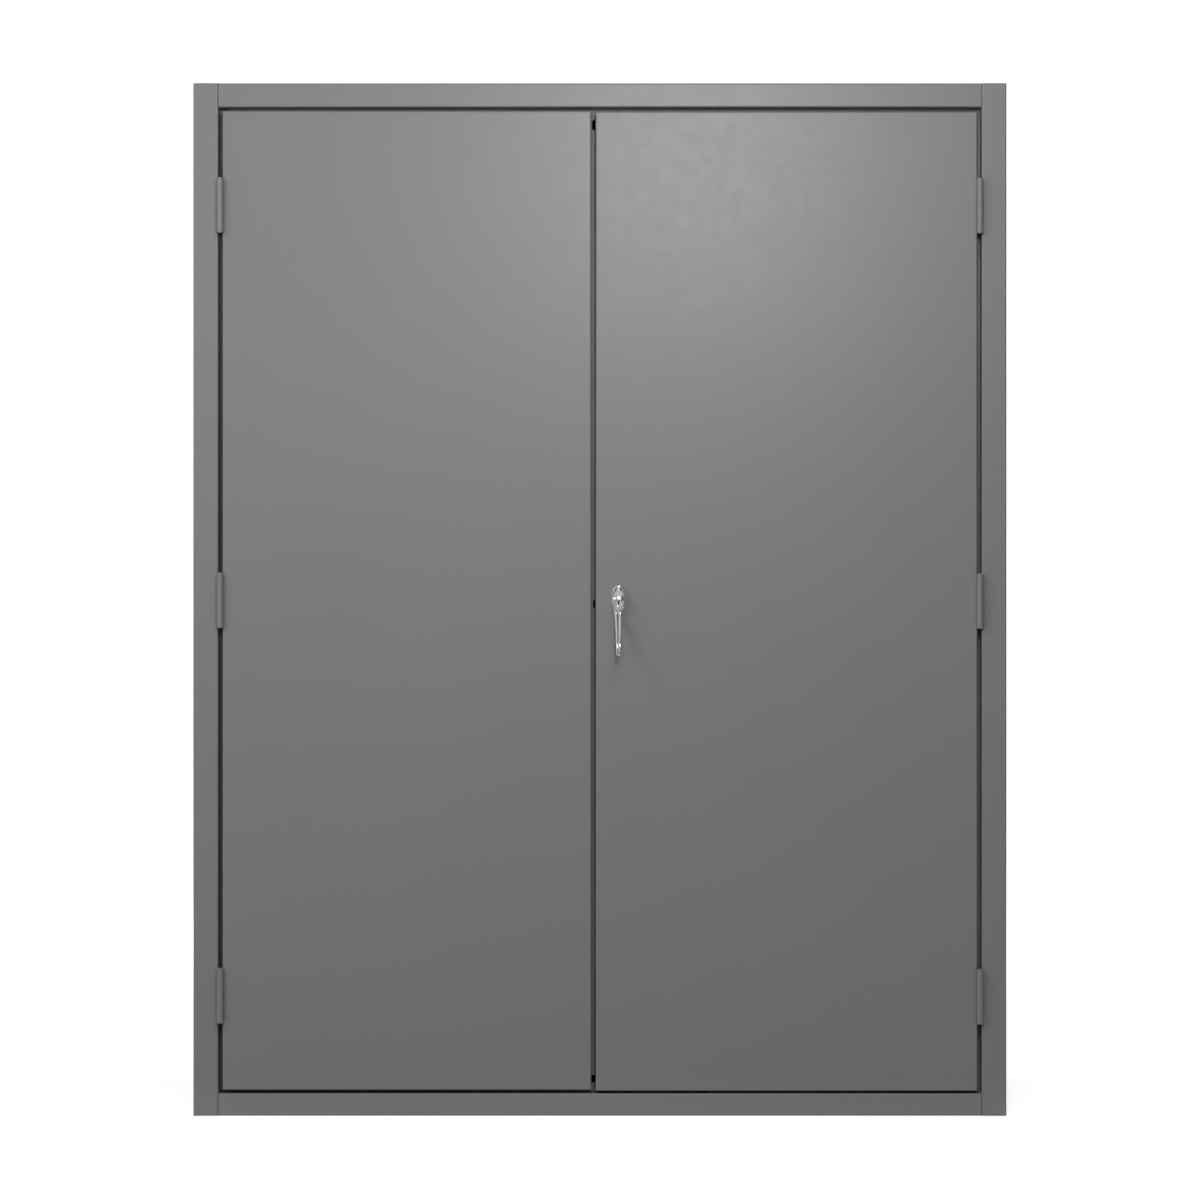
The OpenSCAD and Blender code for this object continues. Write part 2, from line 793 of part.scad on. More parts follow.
// The holes for the journal and the two screws, in the door and the backing plate
module handle_holes() {
    circle(journal_d / 2 + free);
    for (s = [-1, 1]) translate([0, s * base_screw_pitch / 2]) circle(base_screw_d / 2 + hole_fit);
}

module handle_base() {
    color(CHROME) placed() at_handle() difference() {
        union() {
            along_y(-base_t, 0) oval(base_w, base_h, base_point);
            along_y(-base_t - boss_h, 0) circle(base_w / 2 - boss_step);
        }
        along_y(-base_t - boss_h - past, past) circle(journal_d / 2 + fit);
        for (s = [-1, 1]) translate([0, 0, s * base_screw_pitch / 2])
            along_y(-base_t + screw_skin, past) circle(base_screw_d / 2);
    }
}

module handle_backing_plate() {
    half = base_screw_pitch / 2 + plate_end;
    color(ZINC) placed() at_handle() difference() {
        box([-plate_w / 2, door_sheet_t, -half], [plate_w / 2, door_sheet_t + plate_t, half]);
        along_y(0, door_sheet_t + plate_t + past) handle_holes();
    }
}

module handle_screws() {
    y1 = door_sheet_t + plate_t;
    color(ZINC) placed() at_handle() for (s = [-1, 1]) translate([0, 0, s * base_screw_pitch / 2]) {
        along_y(-base_t + screw_skin + free, y1) circle(base_screw_d / 2 - fit);
        along_y(y1, y1 + screw_head_h) circle(screw_head_r);
    }
}

// Width of the lever and how far its front stands out, at a share s of its length
function lever_w_at(s) = lever_root_w + (lever_tip_w - lever_root_w) * pow(s, narrowing);
function lever_front_at(s) =
    root_reach + (lever_reach - root_reach) * (1 - cos(180 * min(1, rise * s))) / 2;
function lever_back_at(s) = lever_front_at(s) - lever_t * (1 - thinning * s);

// Outline of the lever at share s: a flat back, round flanks and a groove down the front
function lever_outline(s) = let (
    w = lever_w_at(s) / 2 * tip_round(s),
    back = lever_back_at(s),
    front = lever_front_at(s),
    groove = lever_groove * tip_round(s)
) [for (i = [0 : lever_points]) let (
    u = sin(180 * i / lever_points - 90),
    flank = sqrt(max(0, 1 - pow(abs(u), 3))),
    dip = groove * max(0, 1 - pow(u / groove_share, 2))
) [w * u, back + (front - back) * (flank_start + (1 - flank_start) * flank) - dip]];

// 1 along the lever, falling to the tip's end width over its last round stretch
function tip_round(s) = s < tip_start ? 1
    : sqrt(1 - pow((s - tip_start) / (1 - tip_start), 2)) * (1 - tip_flat) + tip_flat;

// Skins rings of points, each ring closed, into one solid with flat ends
module skin(rings) {
    n = len(rings[0]);
    m = len(rings);
    polyhedron(
        points = [for (ring = rings) each ring],
        faces = concat(
            [[for (i = [n - 1 : -1 : 0]) i]],
            [for (j = [0 : m - 2], i = [0 : n - 1])
                [j * n + i, j * n + (i + 1) % n, (j + 1) * n + (i + 1) % n, (j + 1) * n + i]],
            [[for (i = [0 : n - 1]) (m - 1) * n + i]]
        )
    );
}

module lever_arm() {
    shares = concat([for (k = [0 : lever_rings]) tip_start * k / lever_rings],
        [for (a = [22.5 : 22.5 : 90]) tip_start + (1 - tip_start) * sin(a)]);
    skin([for (s = shares) let (z = lever_root_z - (lever_l + lever_root_z) * s, outline = lever_outline(s))
        concat([[outline[0][0], -lever_back_at(s), z]],
            [for (p = outline) [p[0], -p[1], z]],
            [[outline[lever_points][0], -lever_back_at(s), z]])]);
}

module lever_handle() {
    color(CHROME) placed() at_handle() difference() {
        union() {
            intersection() {
                along_y(-head_reach - past, -head_back) oval(head_w, head_h, head_point);
                translate([0, dome_r - head_reach, 0]) sphere(dome_r);
            }
            along_y(-head_back - past, -free) circle(journal_d / 2);
            lever_arm();
        }
        translate([0, 0, -lock_drop]) along_y(-lever_reach - past, -lock_back) circle(lock_d / 2 + fit);
        along_y(-head_back - socket_depth, past)
            square(spindle_w + 2 * fit, center = true);
    }
}

module lock_body() {
    color(CHROME) placed() at_handle() translate([0, 0, -lock_drop]) difference() {
        along_y(-lock_face, -lock_back) circle(lock_d / 2);
        along_y(-lock_face - past, -lock_back - plug_end) circle(plug_d / 2 + fit);
    }
}

module lock_plug() {
    color(CHROME) placed() at_handle() translate([0, 0, -lock_drop]) difference() {
        along_y(-lock_face - plug_proud, -lock_back - plug_end) circle(plug_d / 2);
        along_y(-lock_face - past, -lock_face + keyway_depth) square([keyway_w, keyway_h], center = true);
    }
}

module handle_spindle() {
    y1 = cam_depth + cam_t;
    color(ZINC) placed() at_handle() {
        along_y(-head_back - socket_depth + slide_fit, y1) square(spindle_w, center = true);
        along_y(y1, y1 + washer_t + nut_t + stud_end) circle(stud_d / 2);
    }
}

// Latch plate and rods

module latch_plate() {
    color(ZINC) placed() at_handle() along_y(cam_depth, cam_depth + cam_t) difference() {
        union() {
            circle(hook_in + hook_slot_r);
            rotate(hook_angle) {
                square([2 * hook_out, 2 * cam_lobe_r], center = true);
                for (s = [-1, 1]) translate([s * hook_out, 0]) circle(cam_lobe_r);
            }
            translate([-tongue_w / 2, 0]) square([tongue_w, tongue_l]);
        }
        square(spindle_w + 2 * fit, center = true);
        rotate(hook_angle) for (s = [-1, 1]) {
            for (r = [hook_in, hook_out]) translate([s * r, 0]) circle(hook_slot_r);
            translate([s * (hook_in + hook_out) / 2, 0])
                square([hook_out - hook_in, 2 * hook_slot_r], center = true);
        }
    }
}

module latch_washer() {
    y0 = cam_depth + cam_t;
    color(ZINC) placed() at_handle() along_y(y0, y0 + washer_t) difference() {
        circle(washer_r);
        circle(stud_d / 2 + fit);
    }
}

module latch_nut() {
    y0 = cam_depth + cam_t + washer_t;
    color(ZINC) placed() at_handle() along_y(y0, y0 + nut_t) difference() {
        circle(nut_w / sqrt(3), $fn = 6);
        circle(stud_d / 2 + fit);
    }
}

// A rod from its hook's height up along +z for length l, hooked back through the latch plate
module lock_rod(l) {
    straight = l - hook_bend_r - rod_tip_l;
    translate([0, 0, hook_bend_r]) {
        cylinder(r = rod_d / 2, h = straight);
        translate([0, 0, straight]) cylinder(r1 = rod_d / 2, r2 = rod_d / 2 - rod_tip_step, h = rod_tip_l);
    }
    translate([0, hook_bend_r, hook_bend_r]) rotate([0, 90, 0]) rotate([0, 0, -90])
        rotate_extrude(angle = 90) translate([hook_bend_r, 0]) circle(rod_d / 2);
    along_y(hook_bend_r, hook_end - rod_depth) circle(rod_d / 2);
}

// Places a rod at its hook: up is 1 for the upper rod and -1 for the lower
module at_hook(up) {
    translate([handle_x + up * arm, rod_y, handle_z - up * arm]) mirror([0, 0, up > 0 ? 0 : 1]) children();
}

module rod_clip_ring() {
    y0 = cam_depth + cam_t + clip_ring_gap - rod_depth;
    along_y(y0, y0 + clip_ring_t) difference() {
        circle(clip_ring_r);
        circle(rod_d / 2 + fit);
    }
}

module upper_lock_rod() {
    color(ZINC) placed() at_hook(1) lock_rod(right_z0 + door_h - rod_tip_in - handle_z + arm);
}

module lower_lock_rod() {
    color(ZINC) placed() at_hook(-1) lock_rod(handle_z + arm - right_z0 - rod_tip_in);
}

module upper_rod_clip() {
    color(ZINC) placed() at_hook(1) rod_clip_ring();
}

module lower_rod_clip() {
    color(ZINC) placed() at_hook(-1) rod_clip_ring();
}

left_side_panel();
right_side_panel();
top_panel();
bottom_panel();
back_panel();
top_door_stop();
bottom_door_stop();
floor_channels();
front_left_standard();
rear_left_standard();
front_right_standard();
rear_right_standard();
for (n = [1 : 4]) {
    shelf(n);
    shelf_channel(n);
}
shelf_clips();
for (k = [-1 : 1]) {
    level = ["lower", "middle", "upper"][k + 1];
    left_leaf(-1, 1, k);
    left_leaf(1, 0, k);
    right_leaf(-1, 1, k);
    right_leaf(1, 0, k);
}
left_hinge_pins();
right_hinge_pins();
left_door_pan();
left_door_stiffener();
meeting_strip();
left_door_bumpers();
right_door_pan();
right_door_stiffener();
right_door_bumpers();
upper_rod_guide();
lower_rod_guide();
rod_bushes();
handle_base();
handle_backing_plate();
handle_screws();
lever_handle();
lock_body();
handle_spindle();
latch_plate();
latch_washer();
latch_nut();
lock_plug();
upper_lock_rod();
upper_rod_clip();
lower_lock_rod();
lower_rod_clip();
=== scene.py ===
"""Looks of the tall steel tool cabinet: finishes, small cast, turned and welded pieces, and the studio."""
import json
import logging
import math
from dataclasses import dataclass
from enum import Enum

import bpy
import numpy as np
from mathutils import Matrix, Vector


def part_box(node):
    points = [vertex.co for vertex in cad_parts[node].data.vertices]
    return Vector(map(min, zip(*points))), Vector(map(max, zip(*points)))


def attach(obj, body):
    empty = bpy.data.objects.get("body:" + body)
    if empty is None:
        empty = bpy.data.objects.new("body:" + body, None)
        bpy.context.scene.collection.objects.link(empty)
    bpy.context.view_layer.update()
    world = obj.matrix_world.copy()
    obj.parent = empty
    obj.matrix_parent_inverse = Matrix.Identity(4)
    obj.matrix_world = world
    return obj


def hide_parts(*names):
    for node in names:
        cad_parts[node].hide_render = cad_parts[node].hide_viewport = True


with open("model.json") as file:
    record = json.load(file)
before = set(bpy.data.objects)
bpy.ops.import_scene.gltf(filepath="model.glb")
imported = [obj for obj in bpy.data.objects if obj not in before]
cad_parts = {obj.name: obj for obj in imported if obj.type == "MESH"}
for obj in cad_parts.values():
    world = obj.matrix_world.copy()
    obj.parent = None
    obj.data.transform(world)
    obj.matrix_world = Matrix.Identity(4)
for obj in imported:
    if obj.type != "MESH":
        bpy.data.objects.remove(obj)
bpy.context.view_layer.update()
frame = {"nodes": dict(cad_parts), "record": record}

log = logging.getLogger("cabinet")

MM = 0.001
FULL_TURN = 2 * math.pi
HINGE_LEVELS = ("lower", "middle", "upper")

Colour = tuple[float, float, float]
Point = tuple[float, float, float]


class Ends(Enum):
    """How a stack of rings is closed."""

    POLES = "poles"
    JOINED = "joined"


class Slot(Enum):
    """Material slots of the part, under their names in its record."""

    PAINT = "grey_paint"
    CHROME = "chrome"
    ZINC = "zinc_plate"
    RUBBER = "rubber"
    NYLON = "white_nylon"


# Surfaces


def added(name: str, data: bpy.types.ID) -> bpy.types.Object:
    """Makes an object of a mesh, lamp or camera and links it to the scene."""
    obj = bpy.data.objects.new(name, data)
    bpy.context.scene.collection.objects.link(obj)
    return obj


def middle_at(low: Vector, high: Vector, y: float) -> Vector:
    """The middle of a box as seen from the front, at a depth y."""
    return Vector(((low.x + high.x) / 2, y, (low.z + high.z) / 2))


def ring_faces(rings: int, points: int, ends: Ends) -> list[list[int]]:
    """Lists the faces between rings that follow each other.

    Args:
        rings: number of rings.
        points: number of points in each ring.
        ends: POLES adds a fan at each end to two extra points behind the rings, JOINED joins the last ring
            to the first.

    Returns:
        Faces as lists of point numbers.
    """
    rows = rings if ends is Ends.JOINED else rings - 1
    j, i = np.meshgrid(np.arange(rows), np.arange(points), indexing="ij")
    i_next, j_next = (i + 1) % points, (j + 1) % rings
    row, row_next = j * points, j_next * points
    quads = np.stack([row + i, row + i_next, row_next + i_next, row_next + i], axis=-1)
    faces = quads.reshape(-1, 4).tolist()
    if ends is Ends.POLES:
        k = np.arange(points)
        k_next = (k + 1) % points
        last = (rings - 1) * points
        first_pole = np.full(points, rings * points)
        faces += np.stack([first_pole, k_next, k], axis=-1).tolist()
        faces += np.stack([first_pole + 1, last + k, last + k_next], axis=-1).tolist()
    return faces


def signed_volume(points: np.ndarray, faces: list[list[int]]) -> float:
    """Sums the volumes of the tetrahedra from the origin to each face: positive if they look outwards."""
    total = 0.0
    for corners in (3, 4):
        some = np.array([f for f in faces if len(f) == corners], dtype=int).reshape(-1, corners)
        for k in range(1, corners - 1):
            a, b, c = points[some[:, 0]], points[some[:, k]], points[some[:, k + 1]]
            total += float(np.einsum("ij,ij->i", a, np.cross(b, c)).sum()) / 6
    return total


def solid_mesh(name: str, stacks: list[tuple[np.ndarray, Ends]], crease: float = 35.0) -> bpy.types.Object:
    """Makes one object from stacks of rings, each stack a closed surface that looks outwards.

    Args:
        name: name of the object and its mesh.
        stacks: arrays of shape (rings, points, 3) in metres, with how each is closed.
        crease: angle in degrees from which an edge stays sharp.

    Returns:
        The object, linked to the scene.
    """
    points, faces, start = [], [], 0
    for rings, ends in stacks:
        flat = rings.reshape(-1, 3)
        if ends is Ends.POLES:
            flat = np.vstack([flat, rings[0].mean(axis=0), rings[-1].mean(axis=0)])
        own = ring_faces(rings.shape[0], rings.shape[1], ends)
        if signed_volume(flat - flat.mean(axis=0), own) < 0:
            own = [face[::-1] for face in own]
        points.append(flat)
        faces += [[start + k for k in face] for face in own]
        start += len(flat)
    mesh = bpy.data.meshes.new(name)
    mesh.from_pydata(np.vstack(points).tolist(), [], faces)
    mesh.shade_smooth()
    mesh.set_sharp_from_angle(angle=math.radians(crease))
    return added(name, mesh)


def turns(points: int) -> np.ndarray:
    """Angles of a full turn, evenly spaced, without the last that repeats the first."""
    return np.linspace(0, FULL_TURN, points, endpoint=False)


def polygon_radius(angles: np.ndarray, sides: int) -> np.ndarray:
    """Radius of a polygon whose flats lie at 1: one over the cosine of the angle to the nearest flat."""
    step = FULL_TURN / sides
    return 1 / np.cos((angles + step / 2) % step - step / 2)


def box_radius(angles: np.ndarray, half_x: float, half_z: float) -> np.ndarray:
    """Radius of a rectangle about its middle: the nearer of its two walls in each direction."""
    with np.errstate(divide="ignore"):
        return np.minimum(half_x / np.abs(np.cos(angles)), half_z / np.abs(np.sin(angles)))


@dataclass(frozen=True)
class Oval:
    """An upright oval of two wide arcs, its ends blunted by a circle of half its height.

    The arcs would meet at point times half the height.
    """

    width: float
    height: float
    point: float

    @property
    def reach(self) -> float:
        """Radius of the two arcs."""
        tall = self.height / 2 * self.point
        return (tall**2 + self.width**2 / 4) / self.width

    def radius(self, angles: np.ndarray) -> np.ndarray:
        """Radius about the middle: a power mean of both arcs and the circle, which rounds their corners."""
        shift, blunt, power = self.reach - self.width / 2, self.height / 2, 40.0
        arc = np.sqrt(self.reach**2 - (shift * np.sin(angles)) ** 2)
        near = [arc - shift * np.cos(angles), arc + shift * np.cos(angles), np.full_like(angles, blunt)]
        return sum((r / blunt) ** -power for r in near) ** (-1 / power) * blunt

    def top(self, x: np.ndarray) -> np.ndarray:
        """Height of the outline above the middle at each x."""
        shift = self.reach - self.width / 2
        arc = np.sqrt(np.clip(self.reach**2 - (np.abs(x) + shift) ** 2, 0, None))
        return np.minimum(arc, np.sqrt(np.clip(self.height**2 / 4 - x**2, 0, None)))


def facing_rings(centre: Vector, outlines: list[np.ndarray], depths: list[float] | np.ndarray) -> np.ndarray:
    """Stacks outlines that face forwards.

    Args:
        centre: point that the outlines and depths start from.
        outlines: arrays of (x, z) for each ring.
        depths: distance of each ring behind the centre, along +y, as one number or one for each point.

    Returns:
        Array of shape (rings, points, 3).
    """
    flat = np.stack(outlines)
    deep = np.stack([np.broadcast_to(d, flat.shape[1:2]) for d in depths])
    return np.stack([centre.x + flat[..., 0], centre.y + deep, centre.z + flat[..., 1]], axis=-1)


def polar(angles: np.ndarray, radius: np.ndarray | float, x: float = 0.0, z: float = 0.0) -> np.ndarray:
    """Outline (x, z) of a radius for each angle about a middle."""
    return np.stack([x + radius * np.cos(angles), z + radius * np.sin(angles)], axis=-1)


def turned_rings(base: Vector, axis: Vector, profile: list[tuple[float, float]], points: int) -> np.ndarray:
    """Turns a profile about an axis.

    Args:
        base: point on the axis that heights start from.
        axis: direction of the axis, of length one.
        profile: (radius, height) pairs in metres.
        points: number of points round the axis.

    Returns:
        Array of shape (profile, points, 3): the base plus the height along the axis plus the radius in
        the turned direction.
    """
    side = axis.orthogonal().normalized()
    other = axis.cross(side)
    a = turns(points)
    round_it = np.outer(np.cos(a), np.array(side)) + np.outer(np.sin(a), np.array(other))
    r, h = np.array(profile).T
    return np.array(base) + h[:, None, None] * np.array(axis) + r[:, None, None] * round_it


def arc_profile(middle: tuple[float, float], radius: float, start: float, end: float,
                steps: int) -> list[tuple[float, float]]:
    """Points of an arc in a (radius, height) profile, from a start angle to an end angle in degrees."""
    a = np.radians(np.linspace(start, end, steps))
    return [(middle[0] + radius * math.cos(k), middle[1] + radius * math.sin(k)) for k in a]


def bead_rings(start: Vector, end: Vector, first: Vector, second: Vector, size: float,
               pitch: float) -> np.ndarray:
    """A weld bead in the corner between two faces.

    Formula: at each station along the corner the section is the corner itself and an arc from one face to
    the other; its size falls to nothing at the two ends and swells a little once every pitch.

    Args:
        start: one end of the corner.
        end: the other end of the corner.
        first: direction of length one along the first face, away from the corner.
        second: direction of length one along the second face, away from the corner.
        size: leg of the bead in metres.
        pitch: length of one ripple in metres.

    Returns:
        Array of shape (stations, 8, 3).
    """
    blunt, least, swell, bulge = 10, 0.02, 0.1, 0.86
    length = (end - start).length
    stations = max(9, int(length / pitch * 2) + 1)
    s = np.linspace(0, 1, stations)
    a = np.radians(np.linspace(0, 90, 7))
    ends = np.sqrt(np.clip(1 - np.abs(2 * s - 1) ** blunt, least, 1))
    grow = size * ends * (1 + swell * np.cos(FULL_TURN * s * length / pitch))
    arc = bulge * (np.outer(np.cos(a), np.array(first)) + np.outer(np.sin(a), np.array(second)))
    section = np.vstack([np.zeros(3), arc])
    line = np.array(start) + s[:, None] * np.array(end - start)
    return line[:, None, :] + grow[:, None, None] * section


# Finishes


class Shader:
    """A material's node tree with short ways to add to it."""

    def __init__(self, name: str) -> None:
        """Starts a material that holds only its surface shader."""
        self.material = bpy.data.materials.new(name)
        self.material.use_nodes = True
        self.tree = self.material.node_tree
        self.surface = self.tree.nodes["Principled BSDF"]
        self.place = self.tree.nodes.new("ShaderNodeTexCoord").outputs["Object"]

    def link(self, value: bpy.types.NodeSocket, target: bpy.types.NodeSocket) -> None:
        """Links an output to an input."""
        self.tree.links.new(value, target)

    def stretched(self, scale: Point) -> bpy.types.NodeSocket:
        """Object coordinates multiplied by a scale for each axis."""
        node = self.tree.nodes.new("ShaderNodeMapping")
        node.inputs["Scale"].default_value = scale
        self.link(self.place, node.inputs["Vector"])
        return node.outputs["Vector"]

    def noise(self, scale: float, detail: float = 2.0, rough: float = 0.5,
              stretch: Point = (1.0, 1.0, 1.0)) -> bpy.types.NodeSocket:
        """Noise from 0 to 1.

        Args:
            scale: spots for each metre.
            detail: number of finer layers.
            rough: share of each finer layer.
            stretch: scale for each axis, to draw the spots out into a grain.

        Returns:
            The noise's output.
        """
        node = self.tree.nodes.new("ShaderNodeTexNoise")
        node.inputs["Scale"].default_value = scale
        node.inputs["Detail"].default_value = detail
        node.inputs["Roughness"].default_value = rough
        self.link(self.stretched(stretch), node.inputs["Vector"])
        return node.outputs["Fac"]

    def cells(self, scale: float) -> bpy.types.NodeSocket:
        """Cells of one random value each, as on spangled zinc."""
        node = self.tree.nodes.new("ShaderNodeTexVoronoi")
        node.inputs["Scale"].default_value = scale
        self.link(self.place, node.inputs["Vector"])
        part = self.tree.nodes.new("ShaderNodeSeparateColor")
        self.link(node.outputs["Color"], part.inputs["Color"])
        return part.outputs["Red"]

    def between(self, value: bpy.types.NodeSocket, low: float, high: float, start: float = 0.3,
                end: float = 0.7) -> bpy.types.NodeSocket:
        """Maps a value from start to end onto low to high."""
        node = self.tree.nodes.new("ShaderNodeMapRange")
        node.inputs["From Min"].default_value = start
        node.inputs["From Max"].default_value = end
        node.inputs["To Min"].default_value = low
        node.inputs["To Max"].default_value = high
        self.link(value, node.inputs["Value"])
        return node.outputs["Result"]

    def tint(self, value: bpy.types.NodeSocket, first: Colour | bpy.types.NodeSocket,
             second: Colour) -> bpy.types.NodeSocket:
        """Mixes two colours by a value. The first may also come from an output."""
        node = self.tree.nodes.new("ShaderNodeMix")
        node.data_type = "RGBA"
        factor, start, end = node.inputs[0], node.inputs[6], node.inputs[7]
        if isinstance(first, tuple):
            start.default_value = (*first, 1.0)
        else:
            self.link(first, start)
        end.default_value = (*second, 1.0)
        self.link(value, factor)
        return node.outputs[2]

    def bump(self, height: bpy.types.NodeSocket, depth: float,
             under: bpy.types.NodeSocket | None = None) -> bpy.types.NodeSocket:
        """A bump of a depth in metres, over another bump where one is given."""
        node = self.tree.nodes.new("ShaderNodeBump")
        node.inputs["Strength"].default_value = 1.0
        node.inputs["Distance"].default_value = depth
        self.link(height, node.inputs["Height"])
        if under is not None:
            self.link(under, node.inputs["Normal"])
        return node.outputs["Normal"]


# The finishes' scales are in spots for each metre, and their depths in metres.


@dataclass(frozen=True)
class Enamel:
    """Grey stoving enamel: a satin coat with orange peel, faint clouding and fine dust specks."""

    light: Colour = (0.192, 0.192, 0.193)
    dark: Colour = (0.186, 0.186, 0.188)
    satin: float = 0.35
    name: str = "satin_grey_enamel"
    clouds: float = 2.2
    specks: float = 900.0
    wear: float = 40.0
    dimples: float = 260.0
    peel: float = 0.00003

    def material(self) -> bpy.types.Material:
        """Builds the enamel's nodes."""
        s = Shader(self.name)
        cloud = s.between(s.noise(self.clouds, 3.0), 0.0, 1.0)
        speck = s.noise(self.specks, 1.0)
        s.link(s.tint(cloud, self.dark, self.light), s.surface.inputs["Base Color"])
        worn = s.between(s.noise(self.wear, 5.0), self.satin - 0.01, self.satin + 0.015)
        s.link(worn, s.surface.inputs["Roughness"])
        peel = s.bump(s.noise(self.dimples, 2.0), self.peel)
        s.link(s.bump(speck, self.peel / 4, peel), s.surface.inputs["Normal"])
        return s.material


@dataclass(frozen=True)
class Chrome:
    """Bright chrome plate with faint polishing marks and a light haze."""

    bright: Colour = (0.86, 0.87, 0.88)
    hazed: Colour = (0.8, 0.81, 0.83)
    name: str = "polished_chrome"
    haze: float = 140.0
    grain: float = 400.0
    marks: float = 300.0
    mark_depth: float = 0.000004

    def shader(self) -> Shader:
        """Builds the chrome's nodes."""
        s = Shader(self.name)
        s.surface.inputs["Metallic"].default_value = 1.0
        haze = s.between(s.noise(self.haze, 3.0), 0.0, 1.0)
        s.link(s.tint(haze, self.bright, self.hazed), s.surface.inputs["Base Color"])
        s.link(s.between(s.noise(self.grain, 3.0), 0.1, 0.17), s.surface.inputs["Roughness"])
        marks = s.noise(self.marks, 2.0, stretch=(6.0, 6.0, 0.5))
        s.link(s.bump(marks, self.mark_depth), s.surface.inputs["Normal"])
        return s

    def material(self) -> bpy.types.Material:
        """Gives the material of those nodes."""
        return self.shader().material


@dataclass(frozen=True)
class ShadedKeywayChrome(Chrome):
    """The chrome of the lock's plug, with painted shade that darkens the inside of the keyway."""

    mouth_y: float = 0.0
    # Depths behind the keyway's mouth where the painted shade starts and where it is full, then its colour.
    shade_start: float = 0.2 * MM
    black: float = 0.8 * MM
    keyway_shade: Colour = (0.02, 0.02, 0.02)

    def shader(self) -> Shader:
        """Builds the chrome, then darkens it from the keyway's mouth inwards as painted shade."""
        s = super().shader()
        base = s.surface.inputs["Base Color"]
        plate = base.links[0].from_socket
        part = s.tree.nodes.new("ShaderNodeSeparateXYZ")
        s.link(s.place, part.inputs[0])
        deep = s.between(part.outputs["Y"], 0.0, 1.0, self.mouth_y + self.shade_start, self.mouth_y + self.black)
        s.link(s.tint(deep, plate, self.keyway_shade), base)
        return s


@dataclass(frozen=True)
class Zinc:
    """Bright zinc plate: drawn grain, small crystals and dull patches."""

    bright: Colour = (0.62, 0.63, 0.65)
    dull: Colour = (0.5, 0.51, 0.54)
    crystals: float = 320.0
    patches: float = 60.0
    grain: float = 500.0
    grain_depth: float = 0.00001

    def material(self) -> bpy.types.Material:
        """Builds the zinc's nodes."""
        s = Shader("bright_zinc_plate")
        s.surface.inputs["Metallic"].default_value = 1.0
        s.link(s.tint(s.cells(self.crystals), self.bright, self.dull), s.surface.inputs["Base Color"])
        s.link(s.between(s.noise(self.patches, 4.0), 0.28, 0.46), s.surface.inputs["Roughness"])
        grain = s.noise(self.grain, 2.0, stretch=(4.0, 4.0, 0.15))
        s.link(s.bump(grain, self.grain_depth), s.surface.inputs["Normal"])
        return s.material


@dataclass(frozen=True)
class Rubber:
    """Black moulded rubber with a dry, slightly dusty face."""

    black: Colour = (0.018, 0.018, 0.019)
    dusty: Colour = (0.045, 0.044, 0.043)
    dust: float = 180.0
    patches: float = 90.0
    grain: float = 1500.0
    grain_depth: float = 0.00004

    def material(self) -> bpy.types.Material:
        """Builds the rubber's nodes."""
        s = Shader("black_rubber")
        dust = s.between(s.noise(self.dust, 4.0), 0.0, 1.0, 0.4, 0.8)
        s.link(s.tint(dust, self.black, self.dusty), s.surface.inputs["Base Color"])
        s.link(s.between(s.noise(self.patches), 0.7, 0.88), s.surface.inputs["Roughness"])
        s.link(s.bump(s.noise(self.grain, 2.0), self.grain_depth), s.surface.inputs["Normal"])
        return s.material


@dataclass(frozen=True)
class Nylon:
    """Natural moulded nylon with a dull, faintly mottled face."""

    creamy: Colour = (0.72, 0.71, 0.66)
    pale: Colour = (0.8, 0.79, 0.75)
    mottle: float = 250.0
    patches: float = 120.0
    grain: float = 900.0
    grain_depth: float = 0.00003

    def material(self) -> bpy.types.Material:
        """Builds the nylon's nodes."""
        s = Shader("natural_nylon")
        mottle = s.between(s.noise(self.mottle, 3.0), 0.0, 1.0)
        s.link(s.tint(mottle, self.creamy, self.pale), s.surface.inputs["Base Color"])
        s.link(s.between(s.noise(self.patches), 0.38, 0.52), s.surface.inputs["Roughness"])
        s.link(s.bump(s.noise(self.grain, 2.0), self.grain_depth), s.surface.inputs["Normal"])
        return s.material


FINISHES = {Slot.PAINT: Enamel(), Slot.CHROME: Chrome(), Slot.ZINC: Zinc(), Slot.RUBBER: Rubber(),
            Slot.NYLON: Nylon()}
# The meeting strip sits deep in the gap between the doors, and its darker enamel is painted shade.
STRIP_SHADE_ENAMEL = Enamel((0.115, 0.115, 0.116), (0.1, 0.1, 0.102), 0.45, "strip_painted_shade_enamel")


class PaintShop:
    """Holds one material for each slot, and dresses nodes and new pieces with them."""

    def __init__(self) -> None:
        """Makes the materials of all finishes."""
        self.materials = {slot: finish.material() for slot, finish in FINISHES.items()}

    def dress_nodes(self) -> None:
        """Gives each CAD node the material of its own slot, and the meeting strip a darker enamel that paints
        the shade of its recess.
        """
        # Painted shade on the recessed meeting strip.
        own = {"meeting_strip": STRIP_SHADE_ENAMEL.material()}
        for row in frame["record"]["subparts"]:
            obj = frame["nodes"][row["node"]]
            finish = own.get(row["node"], self.materials[Slot(row["material_slot"])])
            if not obj.material_slots:
                obj.data.materials.append(finish)
            for place in obj.material_slots:
                place.material = finish

    def place(self, obj: bpy.types.Object, slot: Slot, body: str, *nodes: str,
              finish: bpy.types.Material | None = None) -> None:
        """Finishes a new piece, sets it on its body and lets it stand for CAD nodes.

        Args:
            obj: the piece.
            slot: the material slot that it takes its finish from.
            body: the body that it moves with.
            nodes: the CAD nodes that it replaces, if any.
            finish: a finish of its own in place of the slot's.
        """
        obj.data.materials.clear()
        obj.data.materials.append(finish or self.materials[slot])
        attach(obj, body)
        if nodes:
            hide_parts(*nodes)
        log.info("%s on %s: %d faces", obj.name, body, len(obj.data.polygons))


# Sub-assemblies


